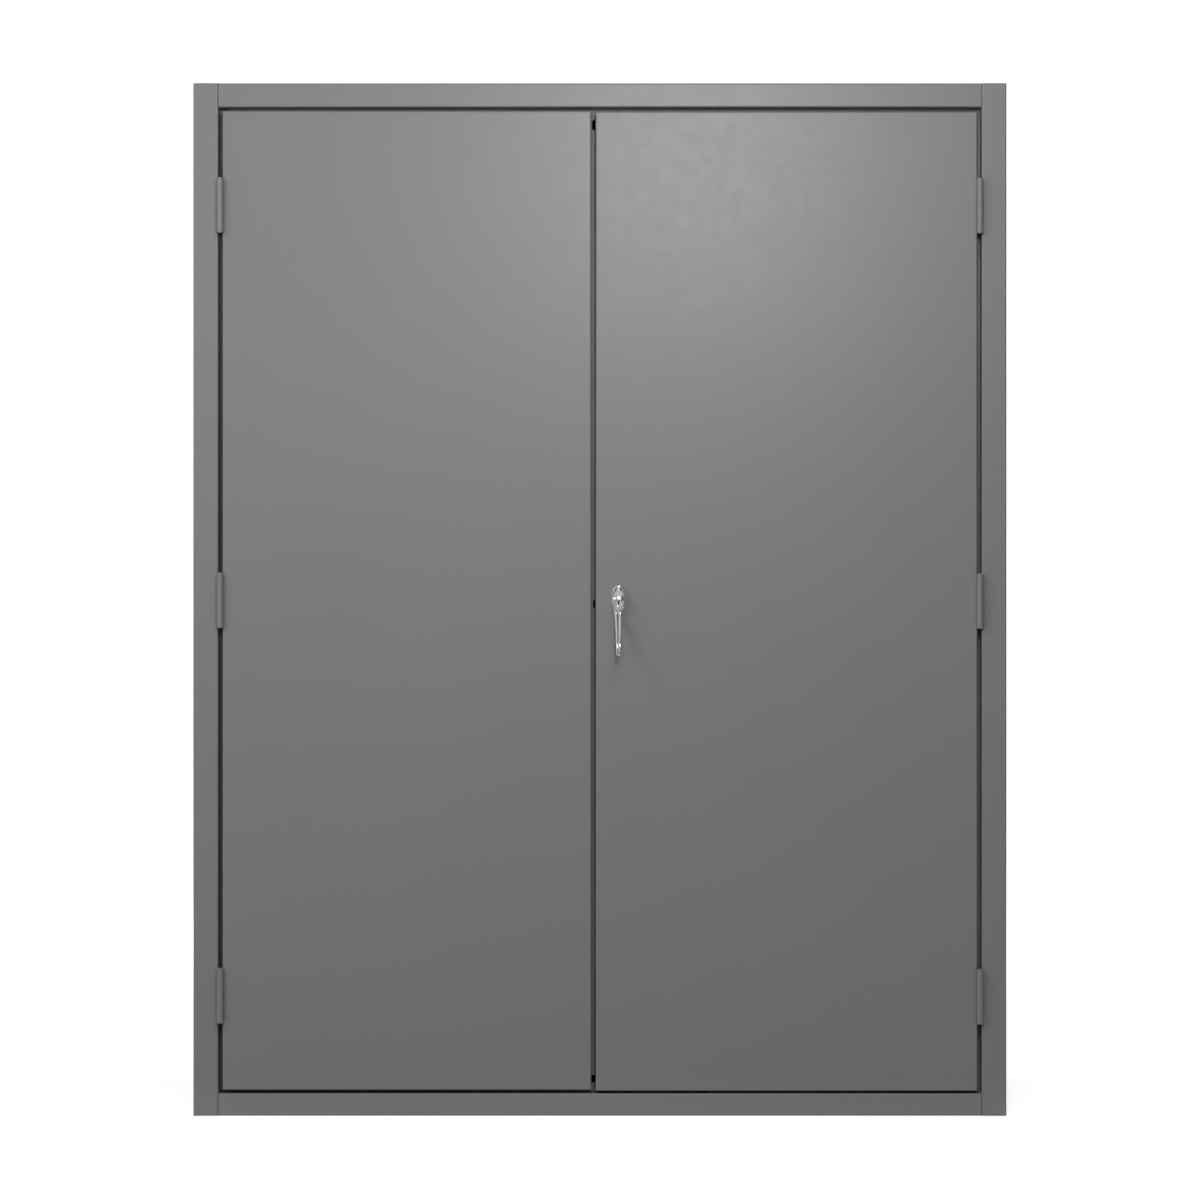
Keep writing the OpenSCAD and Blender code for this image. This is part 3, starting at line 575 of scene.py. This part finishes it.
@dataclass
class HandleSet:
    """The lever handle with its oval base, lock and fastenings. Sizes are in metres."""

    base_oval: Oval = Oval(24.5 * MM, 55 * MM, 1.3)
    base_t: float = 4 * MM
    boss_h: float = 4 * MM
    boss_step: float = 1.2 * MM
    journal_r: float = 8 * MM
    fit: float = 0.06 * MM
    head_oval: Oval = Oval(21 * MM, 43 * MM, 1.06)
    head_gap: float = 0.5 * MM
    head_reach: float = 28 * MM
    dome_r: float = 25 * MM
    lock_drop: float = 5 * MM
    lock_r: float = 7 * MM
    plug_r: float = 5.5 * MM
    lever_l: float = 105 * MM
    lever_reach: float = 44.9 * MM
    lever_t: float = 9 * MM
    root_w: float = 18.5 * MM
    tip_w: float = 8.6 * MM
    trench: float = 6 * MM
    trench_w: float = 3 * MM
    groove_share: float = 0.28
    round_points: int = 96

    def __post_init__(self) -> None:
        """Finds the handle's axis on the door's face from its base."""
        low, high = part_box("handle_base")
        self.axis = middle_at(low, high, high.y)
        self.head_back = self.base_t + self.boss_h + self.head_gap
        self.a = turns(self.round_points)

    def base(self) -> bpy.types.Object:
        """Builds the oval base.

        Formula: rings of the oval drawn in towards the middle while the face rises: a rolled rim, a shallow
        trough behind it, a boss with a soft edge, and the bearing bore back to the door's face.
        """
        a = self.a
        oval = self.base_oval.radius(a)
        boss = self.base_oval.width / 2 - self.boss_step
        bore = self.journal_r + self.fit
        chamfer, chamfer_d = 0.2 * MM, 0.3 * MM
        rim, rim_drop, rolled = 1.1 * MM, 1.4 * MM, 150
        trough = ((0.35, 2.1 * MM), (0.7, 2.4 * MM), (1.0, 3.2 * MM))
        fillet, soft, lead = 0.3 * MM, 0.8 * MM, 0.4 * MM
        outlines, depths = [polar(a, oval - chamfer), polar(a, oval)], [0.0, -chamfer_d]
        for k in np.radians(np.linspace(0, rolled, 7)):
            outlines.append(polar(a, oval - rim * (1 - math.cos(k))))
            depths.append(-(self.base_t - rim_drop) - rim * math.sin(k))
        outer = oval - 2.1 * rim
        inner = np.minimum(outer, boss + fillet)
        for share, depth in trough:
            outlines.append(polar(a, outer * (1 - share) + inner * share))
            depths.append(-depth)
        top = self.base_t + self.boss_h
        for k in np.radians(np.linspace(0, 90, 5)):
            outlines.append(polar(a, boss - soft * (1 - math.cos(k))))
            depths.append(-(top - soft) - soft * math.sin(k))
        outlines += [polar(a, bore + lead), polar(a, bore), polar(a, bore)]
        depths += [-top, -top + lead, 0.0]
        rings = facing_rings(self.axis, outlines, depths)
        return solid_mesh("handle_base_casting", [(rings, Ends.JOINED)])

    def head_front(self, outline: np.ndarray) -> np.ndarray:
        """Depth of the domed head over points (x, z): its reach less the fall of a sphere."""
        most = self.dome_r * 0.99
        across = np.minimum((outline**2).sum(axis=-1), most**2)
        return -self.head_reach + self.dome_r - np.sqrt(self.dome_r**2 - across)

    def head(self) -> np.ndarray:
        """Rings of the domed head.

        Formula: from the lock's pocket straight lines run out to the oval edge over the sphere, the edge
        turns over in a small arc, and the back closes in to the journal and its square socket.
        """
        a = self.a
        oval = self.head_oval.radius(a)
        edge, lip, seat, chamfer = 1.4 * MM, 0.4 * MM, 0.3 * MM, 0.4 * MM
        pocket_d, socket_half, socket_d, clear = 4 * MM, 4.06 * MM, 3 * MM, 0.5 * MM
        pocket_r = self.lock_r + self.fit
        pocket = polar(a, pocket_r, z=-self.lock_drop)
        inset = polar(a, oval - edge)
        outlines = [pocket, pocket]
        depths = [-(self.head_back + pocket_d), self.head_front(pocket) + seat]
        mouth = polar(a, pocket_r + lip, z=-self.lock_drop)
        for share in np.linspace(0, 1, 9):
            ring = mouth * (1 - share) + inset * share
            outlines.append(ring)
            depths.append(self.head_front(ring))
        for k in np.radians(np.linspace(15, 90, 6)):
            outlines.append(polar(a, oval - edge * (1 - math.sin(k))))
            depths.append(self.head_front(inset) + edge * (1 - math.cos(k)))
        back = -self.head_back
        outlines += [polar(a, r) for r in (oval, oval - chamfer, self.journal_r, self.journal_r,
                                           self.journal_r - chamfer)]
        depths += [back - chamfer, back, back, -clear - chamfer, -clear]
        socket = polar(a, box_radius(a, socket_half, socket_half))
        outlines += [socket, socket]
        depths += [-clear, back - socket_d]
        return facing_rings(self.axis, outlines, depths)

    def arm(self) -> np.ndarray:
        """Rings of the lever's arm.

        Formula: along the arm the width falls by a power and the front swings out by half a cosine; across
        it the section has round flanks, a V groove down the front and a softly rounded back. Round the
        head's outline the front drops into a trench, and the tip closes over a quarter circle.
        """
        overlap, sunk, closing, close_rings = 6 * MM, 12 * MM, 0.55, 0.2
        v_half, v_round, v_fade, deepest = 0.38, 0.06, 0.1, 0.75
        taper, swing, thinning, front_round, back_round, blunt = 0.9, 1.15, 0.25, 0.7, 0.3, 0.6
        start = overlap - self.head_oval.height / 2
        length = self.lever_l + start
        tip = 1 - closing * self.tip_w / length
        shares = np.concatenate([np.linspace(0, close_rings, 36, endpoint=False),
                                 np.linspace(close_rings, tip, 30),
                                 tip + (1 - tip) * np.sin(np.radians(np.linspace(8, 89, 12)))])
        u = np.sin(np.linspace(-math.pi / 2, math.pi / 2, 33))
        flank = np.sqrt(np.clip(1 - np.abs(u) ** 3, 0, 1))
        valley = np.clip(1 + v_round - np.sqrt((u / v_half) ** 2 + v_round**2), 0, 1)
        hollow = np.sqrt(np.clip(1 - u**4, 0, 1))
        root = self.head_reach - sunk
        rings = []
        for s in shares:
            close = 1.0 if s <= tip else math.sqrt(max(0.0, 1 - ((s - tip) / (1 - tip)) ** 2))
            half = (self.root_w + (self.tip_w - self.root_w) * s**taper) / 2
            z = start - length * s
            below = np.clip(-self.head_oval.top(u * half) - z, 0, None)
            trench = self.trench * np.exp(-((below / self.trench_w) ** 4))
            front = root + (self.lever_reach - root) * (1 - math.cos(math.pi * min(1, swing * s))) / 2
            thick = self.lever_t * (1 - thinning * s)
            groove = self.groove_share * half * min(1.0, (1 - s) / v_fade)
            face = front - thick * front_round * (1 - flank)
            rear = front - thick + thick * back_round * (1 - hollow)
            face -= np.minimum(groove * valley * close + trench, deepest * (face - rear))
            middle = front - thick / 2
            x = np.concatenate([u, u[-2:0:-1]]) * half * close
            y = np.concatenate([face, rear[-2:0:-1]])
            y = middle + (y - middle) * close**blunt
            ring = [self.axis.x + x, self.axis.y - y, np.full_like(x, self.axis.z + z)]
            rings.append(np.stack(ring, axis=-1))
        return np.stack(rings)

    def lever(self) -> bpy.types.Object:
        """Joins the head and the arm into one casting."""
        head = solid_mesh("lever_casting", [(self.head(), Ends.POLES)])
        arm = solid_mesh("lever_arm", [(self.arm(), Ends.POLES)])
        union = head.modifiers.new("join", "BOOLEAN")
        union.operation = "UNION"
        union.solver = "EXACT"
        union.use_self = True
        union.object = arm
        ready = head.evaluated_get(bpy.context.evaluated_depsgraph_get())
        joined = bpy.data.meshes.new_from_object(ready)
        head.modifiers.clear()
        head.data = joined
        bpy.data.objects.remove(arm)
        joined.shade_smooth()
        joined.set_sharp_from_angle(angle=math.radians(38))
        return head

    def lock(self) -> bpy.types.Object:
        """Builds the lock's body: a ring with a rolled lip and a bevel down to the plug."""
        low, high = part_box("lock_body")
        depth = high.y - low.y
        base = middle_at(low, high, high.y)
        bore = self.plug_r + self.fit
        lip, chamfer, floor, hub_r = 0.5 * MM, 0.1 * MM, 2 * MM, 0.4 * MM
        bevel_w, bevel_d = 0.7 * MM, 0.35 * MM
        profile = [(self.lock_r - chamfer, 0.0), (self.lock_r, chamfer)]
        profile += arc_profile((self.lock_r - lip, depth - lip), lip, 0, 90, 5)
        profile += [(bore + bevel_w, depth), (bore, depth - bevel_d), (bore, floor), (hub_r, floor)]
        rings = turned_rings(base, Vector((0, -1, 0)), profile, 64)
        return solid_mesh("lock_cylinder_body", [(rings, Ends.POLES)])

    def plug(self) -> bpy.types.Object:
        """Builds the lock's plug: rings that grow from the keyway's rectangle to the plug's round edge."""
        low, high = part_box("lock_plug")
        face = middle_at(low, high, low.y)
        a = self.a
        keyway = box_radius(a, 1 * MM, 3.75 * MM)
        deep, r = high.y - low.y, self.plug_r
        keyway_d, lead, bevel, chamfer, sunk = 10 * MM, 0.8 * MM, 0.35 * MM, 0.2 * MM, 0.02 * MM
        start, end = keyway + 0.4 * MM, r - 0.5 * MM
        outlines = [polar(a, keyway), polar(a, keyway), polar(a, keyway + bevel)]
        depths = [keyway_d, lead, chamfer]
        for share in (0.05, 0.4, 0.8):
            outlines.append(polar(a, start * (1 - share) + end * share))
            depths.append(sunk)
        outlines += [polar(a, radius) for radius in (r - bevel, r, r, r - chamfer)]
        depths += [sunk, bevel, deep - chamfer, deep]
        return solid_mesh("keyed_plug", [(facing_rings(face, outlines, depths), Ends.POLES)])

    def screws(self) -> bpy.types.Object:
        """Builds the two screws: round heads with a six-sided socket, on plain shanks."""
        low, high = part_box("handle_screws")
        shank, head_r, head_t, point = 1.94 * MM, 3.6 * MM, 2.5 * MM, 0.5 * MM
        socket_half, socket_d, bevel, bevel_d = 1.25 * MM, 1.4 * MM, 0.15 * MM, 0.1 * MM
        crown, brow = 0.72 * head_t, 0.0224 * head_t
        a = turns(48)
        socket = polygon_radius(a, 6) * socket_half
        tip = low.y - high.y
        stacks = []
        for z in (low.z + head_r, high.z - head_r):
            seat = Vector(((low.x + high.x) / 2, high.y, z))
            outlines = [polar(a, socket), polar(a, socket), polar(a, socket + bevel)]
            depths = [-socket_d, -bevel_d, 0.0]
            for k in np.radians(np.linspace(35, 90, 5)):
                outlines.append(polar(a, head_r * math.sin(k)))
                depths.append(-crown * (1 - math.cos(k)) - brow)
            outlines += [polar(a, radius) for radius in (head_r, shank, shank, shank * 0.6)]
            depths += [-head_t, -head_t, tip + point, tip]
            stacks.append((facing_rings(seat, outlines, depths), Ends.POLES))
        return solid_mesh("socket_screws", stacks)

    def nut(self) -> bpy.types.Object:
        """Builds the latch nut: a threaded hexagon with its corners turned off at both faces."""
        low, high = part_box("latch_nut")
        base = middle_at(low, high, high.y)
        thick = high.y - low.y
        a = turns(72)
        hexagon = polygon_radius(a, 6) * 5 * MM
        turned = [(0.0, 5.05 * MM), (0.15 * MM, 5.3 * MM), (0.35 * MM, 5.6 * MM), (0.5 * MM, 5.9 * MM)]
        thread_r, groove, mouth, steps = 3.08 * MM, 0.22 * MM, 0.35 * MM, 16
        outlines, depths = [], []
        for depth, most in turned + [(thick - depth, most) for depth, most in reversed(turned)]:
            outlines.append(polar(a, np.minimum(hexagon, most)))
            depths.append(-depth)
        for k in range(steps + 1):
            outlines.append(polar(a, thread_r + (mouth if k in (0, steps) else groove * (k % 2))))
            depths.append(-thick + thick * k / steps)
        return solid_mesh("hexagon_nut", [(facing_rings(base, outlines, depths), Ends.JOINED)], crease=25)

    def build(self, shop: PaintShop) -> None:
        """Makes and places all pieces of the handle."""
        shop.place(self.base(), Slot.CHROME, "right_door", "handle_base")
        shop.place(self.lever(), Slot.CHROME, "handle", "lever_handle")
        shop.place(self.lock(), Slot.CHROME, "handle", "lock_body")
        # The plug's chrome carries painted shade inside the keyway.
        shaded_keyway = ShadedKeywayChrome(name="painted_shade_keyway_chrome", mouth_y=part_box("lock_plug")[0].y).material()
        shop.place(self.plug(), Slot.CHROME, "lock_plug", "lock_plug", finish=shaded_keyway)
        shop.place(self.screws(), Slot.ZINC, "right_door", "handle_screws")
        shop.place(self.nut(), Slot.ZINC, "handle", "latch_nut")


@dataclass
class HingeSet:
    """Hinge pins with crowned heads, and the weld beads that hold the hinge leaves."""

    pin_r: float = 3.15 * MM
    shoulder: float = 0.4 * MM
    bead: float = 2.0 * MM
    ripple: float = 1.6 * MM
    sink: float = 0.2 * MM
    barrel_clear: float = 14.5 * MM
    edge_clear: float = 2 * MM

    def pins(self, side: str) -> bpy.types.Object:
        """Builds the three pins of one door: a turned profile with a crowned head at each end."""
        low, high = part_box(f"{side}_hinge_pins")
        head_r = (high.x - low.x) / 2
        head_h = high.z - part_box(f"{side}_upper_frame_leaf")[1].z
        axis_x, axis_y = (low.x + high.x) / 2, (low.y + high.y) / 2
        stacks = []
        for node in [f"{side}_{level}_frame_leaf" for level in HINGE_LEVELS]:
            leaf_low, leaf_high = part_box(node)
            middle = Vector((axis_x, axis_y, (leaf_low.z + leaf_high.z) / 2))
            half = (leaf_high.z - leaf_low.z) / 2
            crown = [(head_r * math.sin(k), half + self.shoulder + (head_h - self.shoulder) * math.cos(k))
                     for k in np.radians(np.linspace(12, 90, 7))]
            top = crown + [(head_r, half), (self.pin_r, half)]
            profile = top + [(r, -h) for r, h in reversed(top)]
            stacks.append((turned_rings(middle, Vector((0, 0, 1)), profile, 40), Ends.POLES))
        return solid_mesh(f"{side}_crowned_pins", stacks)

    def leaf_beads(self, node: str, out: int) -> list[tuple[np.ndarray, Ends]]:
        """Weld beads along the top and bottom ends of a leaf.

        Args:
            node: the leaf's node.
            out: 1 where the metal that the leaf is welded to lies on its +x side, -1 on its -x side.

        Returns:
            Two stacks of rings.
        """
        low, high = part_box(node)
        face_x = high.x if out > 0 else low.x
        stacks = []
        for z, up in ((high.z, 1.0), (low.z, -1.0)):
            start = Vector((face_x, low.y + self.barrel_clear, z - self.sink * up))
            end = Vector((face_x, high.y - self.edge_clear, z - self.sink * up))
            rings = bead_rings(start, end, Vector((-out, 0, 0)), Vector((0, 0, up)), self.bead, self.ripple)
            stacks.append((rings, Ends.POLES))
        return stacks

    def build(self, shop: PaintShop) -> None:
        """Makes the pins and beads of both doors."""
        for side, sign in (("left", 1), ("right", -1)):
            shop.place(self.pins(side), Slot.PAINT, "cabinet", f"{side}_hinge_pins")
            for kind, body, out in (("frame", "cabinet", -sign), ("door", f"{side}_door", sign)):
                stacks = [stack for level in HINGE_LEVELS
                          for stack in self.leaf_beads(f"{side}_{level}_{kind}_leaf", out)]
                shop.place(solid_mesh(f"{side}_{kind}_leaf_welds", stacks), Slot.PAINT, body)


@dataclass
class Carcass:
    """Stitch welds of the shelf standards."""

    bead: float = 2.4 * MM
    ripple: float = 2.0 * MM
    stitch: float = 26 * MM
    pitch: float = 300 * MM
    end_clear: float = 40 * MM

    def standard_welds(self) -> bpy.types.Object:
        """Builds short beads down both edges of each standard, in the corner with the side panel."""
        stacks = []
        for side, inward in (("left", 1.0), ("right", -1.0)):
            for place in ("front", "rear"):
                low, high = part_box(f"{place}_{side}_standard")
                wall = low.x if inward > 0 else high.x
                for y, away in ((low.y, -1.0), (high.y, 1.0)):
                    for z in np.arange(low.z + self.end_clear, high.z - self.end_clear, self.pitch):
                        start = Vector((wall, y, z))
                        rings = bead_rings(start, start + Vector((0, 0, self.stitch)), Vector((inward, 0, 0)),
                                           Vector((0, away, 0)), self.bead, self.ripple)
                        stacks.append((rings, Ends.POLES))
        return solid_mesh("standard_stitch_welds", stacks)

    def build(self, shop: PaintShop) -> None:
        """Makes and places the welds."""
        shop.place(self.standard_welds(), Slot.PAINT, "cabinet")


@dataclass
class DoorFittings:
    """Rubber bumpers and nylon rod bushes of the doors."""

    bumper_r: float = 4 * MM
    bumper_nose: float = 1.2 * MM
    rod_r: float = 4 * MM
    bush_bore: float = 4.2 * MM
    bush_barrel: float = 6 * MM
    bush_length: float = 5.5 * MM
    flange_w: float = 2.5 * MM
    flange_t: float = 2 * MM
    skin: float = 1.5 * MM

    def bumpers(self, side: str) -> bpy.types.Object:
        """Builds the two bumpers of a door: turned buttons with a rounded nose."""
        low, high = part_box(f"{side}_door_bumpers")
        length = high.y - low.y
        r, chamfer = self.bumper_r, 0.1 * MM
        nose = min(self.bumper_nose, length / 2)
        profile = [(r - chamfer, 0.0), (r, chamfer)]
        profile += arc_profile((r - nose, length - nose), nose, 0, 88, 8)
        stacks = []
        for z in (low.z + r, high.z - r):
            base = Vector(((low.x + high.x) / 2, low.y, z))
            stacks.append((turned_rings(base, Vector((0, 1, 0)), profile, 32), Ends.POLES))
        return solid_mesh(f"{side}_rubber_buttons", stacks)

    def bushes(self) -> bpy.types.Object:
        """Builds the two rod bushes: turned rings with a round flange inside the door and a flared bore."""
        low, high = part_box("rod_bushes")
        bore, barrel, length, skin = self.bush_bore, self.bush_barrel, self.bush_length, self.skin
        flange, flange_end = barrel + self.flange_w, skin + self.flange_t
        rods = ((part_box("upper_lock_rod"), high.z, -1.0), (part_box("lower_lock_rod"), low.z, 1.0))
        edge, lead, step, chamfer, flare = 0.2 * MM, 0.3 * MM, 0.6 * MM, 0.4 * MM, 0.5 * MM
        profile = [(bore + flare, 0.0), (barrel - edge, 0.0), (barrel, edge), (barrel, skin),
                   (flange - lead, skin), (flange, skin + lead)]
        profile += arc_profile((flange - step, flange_end - step), step, 0, 90, 4)
        profile += [(barrel, flange_end), (barrel, length - chamfer), (barrel - chamfer, length),
                    (bore + chamfer, length), (bore, length - chamfer), (bore, flare)]
        stacks = []
        for (rod_low, rod_high), z, inward in rods:
            base = Vector(((rod_low.x + rod_high.x) / 2, rod_low.y + self.rod_r, z))
            stacks.append((turned_rings(base, Vector((0, 0, inward)), profile, 40), Ends.JOINED))
        return solid_mesh("turned_rod_bushes", stacks)

    def build(self, shop: PaintShop) -> None:
        """Makes and places the fittings."""
        for side in ("left", "right"):
            shop.place(self.bumpers(side), Slot.RUBBER, f"{side}_door", f"{side}_door_bumpers")
        shop.place(self.bushes(), Slot.NYLON, "right_door", "rod_bushes")


# Studio


def flat_piece(name: str, corners: tuple[Point, ...], coat: str,
               grey: float) -> tuple[bpy.types.Object, Shader]:
    """Makes one flat face in a coat of one grey.

    Args:
        name: name of the object.
        corners: the face's corners in order.
        coat: name of its material.
        grey: the base colour's grey.

    Returns:
        The object and its shader.
    """
    mesh = bpy.data.meshes.new(name)
    mesh.from_pydata(list(corners), [], [tuple(range(len(corners)))])
    shader = Shader(coat)
    shader.surface.inputs["Base Color"].default_value = (grey, grey, grey, 1)
    mesh.materials.append(shader.material)
    return added(name, mesh), shader


def make_matt(shader: Shader) -> None:
    """Takes all gloss off a coat."""
    shader.surface.inputs["Roughness"].default_value = 1.0
    shader.surface.inputs["Specular IOR Level"].default_value = 0.0


@dataclass
class Lamp:
    """An area lamp: its place, the point it faces, its size and power, and whether gloss mirrors it."""

    name: str
    place: Point
    target: Point
    width: float
    height: float
    power: float
    mirrored: bool = True

    def build(self) -> None:
        """Makes the lamp."""
        data = bpy.data.lights.new(self.name, "AREA")
        data.shape = "RECTANGLE"
        data.size, data.size_y, data.energy = self.width, self.height, self.power
        obj = added(self.name, data)
        obj.visible_glossy = self.mirrored
        obj.location = self.place
        obj.rotation_euler = (Vector(self.target) - Vector(self.place)).to_track_quat("-Z", "Y").to_euler()


@dataclass
class Card:
    """A grey card that only gloss sees, to give the chrome something darker to mirror."""

    name: str
    corners: tuple[Point, ...]
    grey: float

    def build(self) -> None:
        """Makes the card."""
        obj, shader = flat_piece(self.name, self.corners, self.name, 0.0)
        shader.surface.inputs["Emission Color"].default_value = (self.grey, self.grey, self.grey, 1)
        shader.surface.inputs["Emission Strength"].default_value = 1.0
        obj.visible_camera = obj.visible_diffuse = obj.visible_shadow = obj.visible_transmission = False


@dataclass
class Studio:
    """Camera, lamps, white surround, floor, and the grey cards for reflections."""

    frame_width: float = 2.2484
    distance: float = 7.0
    eye: tuple[float, float] = (0.0002, 0.9666)
    sensor: float = 36.0
    ambient: float = 0.08
    floor_half: float = 30.0
    floor_grey: float = 0.55
    shade: tuple[float, float] = (1.2, 4.0)
    glow: tuple[float, float] = (0.72, 0.96)
    sheet_inset: float = 3 * MM
    sheet_lift: float = 0.3 * MM
    # Grey of the dark sheet under the cabinet, which is painted shade.
    shade_sheet_grey: float = 0.02
    lamps: tuple[Lamp, ...] = (
        Lamp("overhead_lamp", (0.4, -2.4, 3.6), (0.1, -0.28, 1.2), 1.1, 1.1, 24.0, mirrored=False),
        Lamp("upper_left_lamp", (-2.6, -1.8, 3.4), (-0.2, -0.28, 1.2), 0.6, 0.6, 17.0, mirrored=False),
        Lamp("front_lamp", (0.27, -3.6, 2.25), (0.1, -0.28, 1.6), 0.34, 0.6, 29.0),
        Lamp("left_lamp", (-2.0, -3.4, 1.75), (0.0, -0.28, 1.0), 0.3, 0.3, 7.0),
        Lamp("left_fill_lamp", (-2.3, -2.8, 2.0), (0.0, -0.28, 0.9), 1.4, 1.4, 26.0, mirrored=False),
        Lamp("right_rear_lamp", (3.4, 2.6, 2.8), (0.3, 0.0, 1.1), 1.4, 1.4, 90.0, mirrored=False),
        Lamp("left_rear_lamp", (-2.8, 3.6, 2.2), (-0.2, 0.2, 1.1), 1.4, 1.4, 90.0, mirrored=False),
        Lamp("front_fill_lamp", (-0.3, -2.6, 1.6), (-0.1, -0.28, 1.5), 1.0, 0.6, 8.0, mirrored=False),
    )
    cards: tuple[Card, ...] = (
        Card("room_card", ((-12, -8.5, 0.02), (12, -8.5, 0.02), (12, -8.5, 6), (-12, -8.5, 6)), 0.4),
        Card("ceiling_card", ((-12, -8.5, 6), (12, -8.5, 6), (12, 0.5, 6), (-12, 0.5, 6)), 0.5),
        Card("near_floor_card",
             ((-12, -8.5, 0.02), (12, -8.5, 0.02), (12, -0.4, 0.02), (-12, -0.4, 0.02)), 0.4),
        Card("right_card", ((4.5, -8.4, 0.02), (4.5, -0.6, 0.02), (4.5, -0.6, 5.9), (4.5, -8.4, 5.9)), 0.06),
        Card("left_card",
             ((-5.5, -8.4, 0.02), (-5.5, -3.6, 0.02), (-5.5, -3.6, 5.9), (-5.5, -8.4, 5.9)), 0.1),
    )

    def camera(self) -> None:
        """Sets the camera level and straight on, as far back as the photograph's flat view needs."""
        data = bpy.data.cameras.new("camera")
        data.sensor_width = self.sensor
        data.lens = self.sensor * self.distance / self.frame_width
        obj = added("camera", data)
        face_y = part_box("left_side_panel")[0].y
        obj.location = (self.eye[0], face_y - self.distance, self.eye[1])
        obj.rotation_euler = (math.pi / 2, 0, 0)
        bpy.context.scene.camera = obj

    @staticmethod
    def seen(tree: bpy.types.NodeTree) -> bpy.types.NodeSocket:
        """1 for rays from the camera, from gloss or through glass, and 0 for the rest."""
        path = tree.nodes.new("ShaderNodeLightPath")
        value = path.outputs["Is Camera Ray"]
        for kind in ("Is Glossy Ray", "Is Transmission Ray"):
            most = tree.nodes.new("ShaderNodeMath")
            most.operation = "MAXIMUM"
            tree.links.new(value, most.inputs[0])
            tree.links.new(path.outputs[kind], most.inputs[1])
            value = most.outputs[0]
        return value

    def surround(self) -> None:
        """Makes the world: white where it is seen, a soft grey light elsewhere."""
        world = bpy.data.worlds.new("studio")
        bpy.context.scene.world = world
        world.use_nodes = True
        tree = world.node_tree
        tree.nodes.clear()
        light, white = (tree.nodes.new("ShaderNodeBackground") for _ in range(2))
        light.inputs["Strength"].default_value = self.ambient
        light.inputs["Color"].default_value = white.inputs["Color"].default_value = (1, 1, 1, 1)
        mix = tree.nodes.new("ShaderNodeMixShader")
        out = tree.nodes.new("ShaderNodeOutputWorld")
        tree.links.new(self.seen(tree), mix.inputs["Fac"])
        tree.links.new(light.outputs[0], mix.inputs[1])
        tree.links.new(white.outputs[0], mix.inputs[2])
        tree.links.new(mix.outputs[0], out.inputs["Surface"])

    def floor(self) -> None:
        """Makes a pale floor that reads white and keeps the cabinet's shadow.

        Formula: it glows where it is seen, by the first of glow near the cabinet and by the second far
        from it, with a smooth step between the two distances of shade.
        """
        half = self.floor_half
        corners = ((-half, -half, 0), (half, -half, 0), (half, half, 0), (-half, half, 0))
        obj, shader = flat_piece("floor", corners, "pale_floor", self.floor_grey)
        make_matt(shader)
        shader.surface.inputs["Emission Color"].default_value = (1, 1, 1, 1)
        distance = shader.tree.nodes.new("ShaderNodeVectorMath")
        distance.operation = "LENGTH"
        shader.link(shader.place, distance.inputs[0])
        white = shader.between(distance.outputs["Value"], *self.glow, *self.shade)
        white.node.interpolation_type = "SMOOTHSTEP"
        scaled = shader.tree.nodes.new("ShaderNodeMath")
        scaled.operation = "MULTIPLY"
        shader.link(self.seen(shader.tree), scaled.inputs[0])
        shader.link(white, scaled.inputs[1])
        shader.link(scaled.outputs[0], shader.surface.inputs["Emission Strength"])

    def painted_shade_sheet(self) -> None:
        """Lays a dark sheet under the cabinet as painted shade, so that holes in its floor look dark from
        above.
        """
        low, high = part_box("left_side_panel")[0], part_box("right_side_panel")[1]
        x0, x1 = low.x + self.sheet_inset, high.x - self.sheet_inset
        y0, y1 = low.y + self.sheet_inset, high.y - self.sheet_inset
        corners = tuple((x, y, self.sheet_lift) for x, y in ((x0, y0), (x1, y0), (x1, y1), (x0, y1)))
        obj, shader = flat_piece("painted_shade_sheet", corners, "painted_shade_coat", self.shade_sheet_grey)
        make_matt(shader)

    def build(self) -> None:
        """Sets up the whole studio."""
        self.camera()
        self.surround()
        self.floor()
        self.painted_shade_sheet()
        for item in self.lamps + self.cards:
            item.build()
        bpy.context.scene.view_settings.view_transform = "Standard"


def main() -> None:
    """Builds the studio, the finishes and each sub-assembly in order."""
    logging.basicConfig(level=logging.INFO, format="%(name)s: %(message)s")
    Studio().build()
    shop = PaintShop()
    shop.dress_nodes()
    Carcass().build(shop)
    HingeSet().build(shop)
    DoorFittings().build(shop)
    HandleSet().build(shop)


if __name__ == "__main__":
    main()
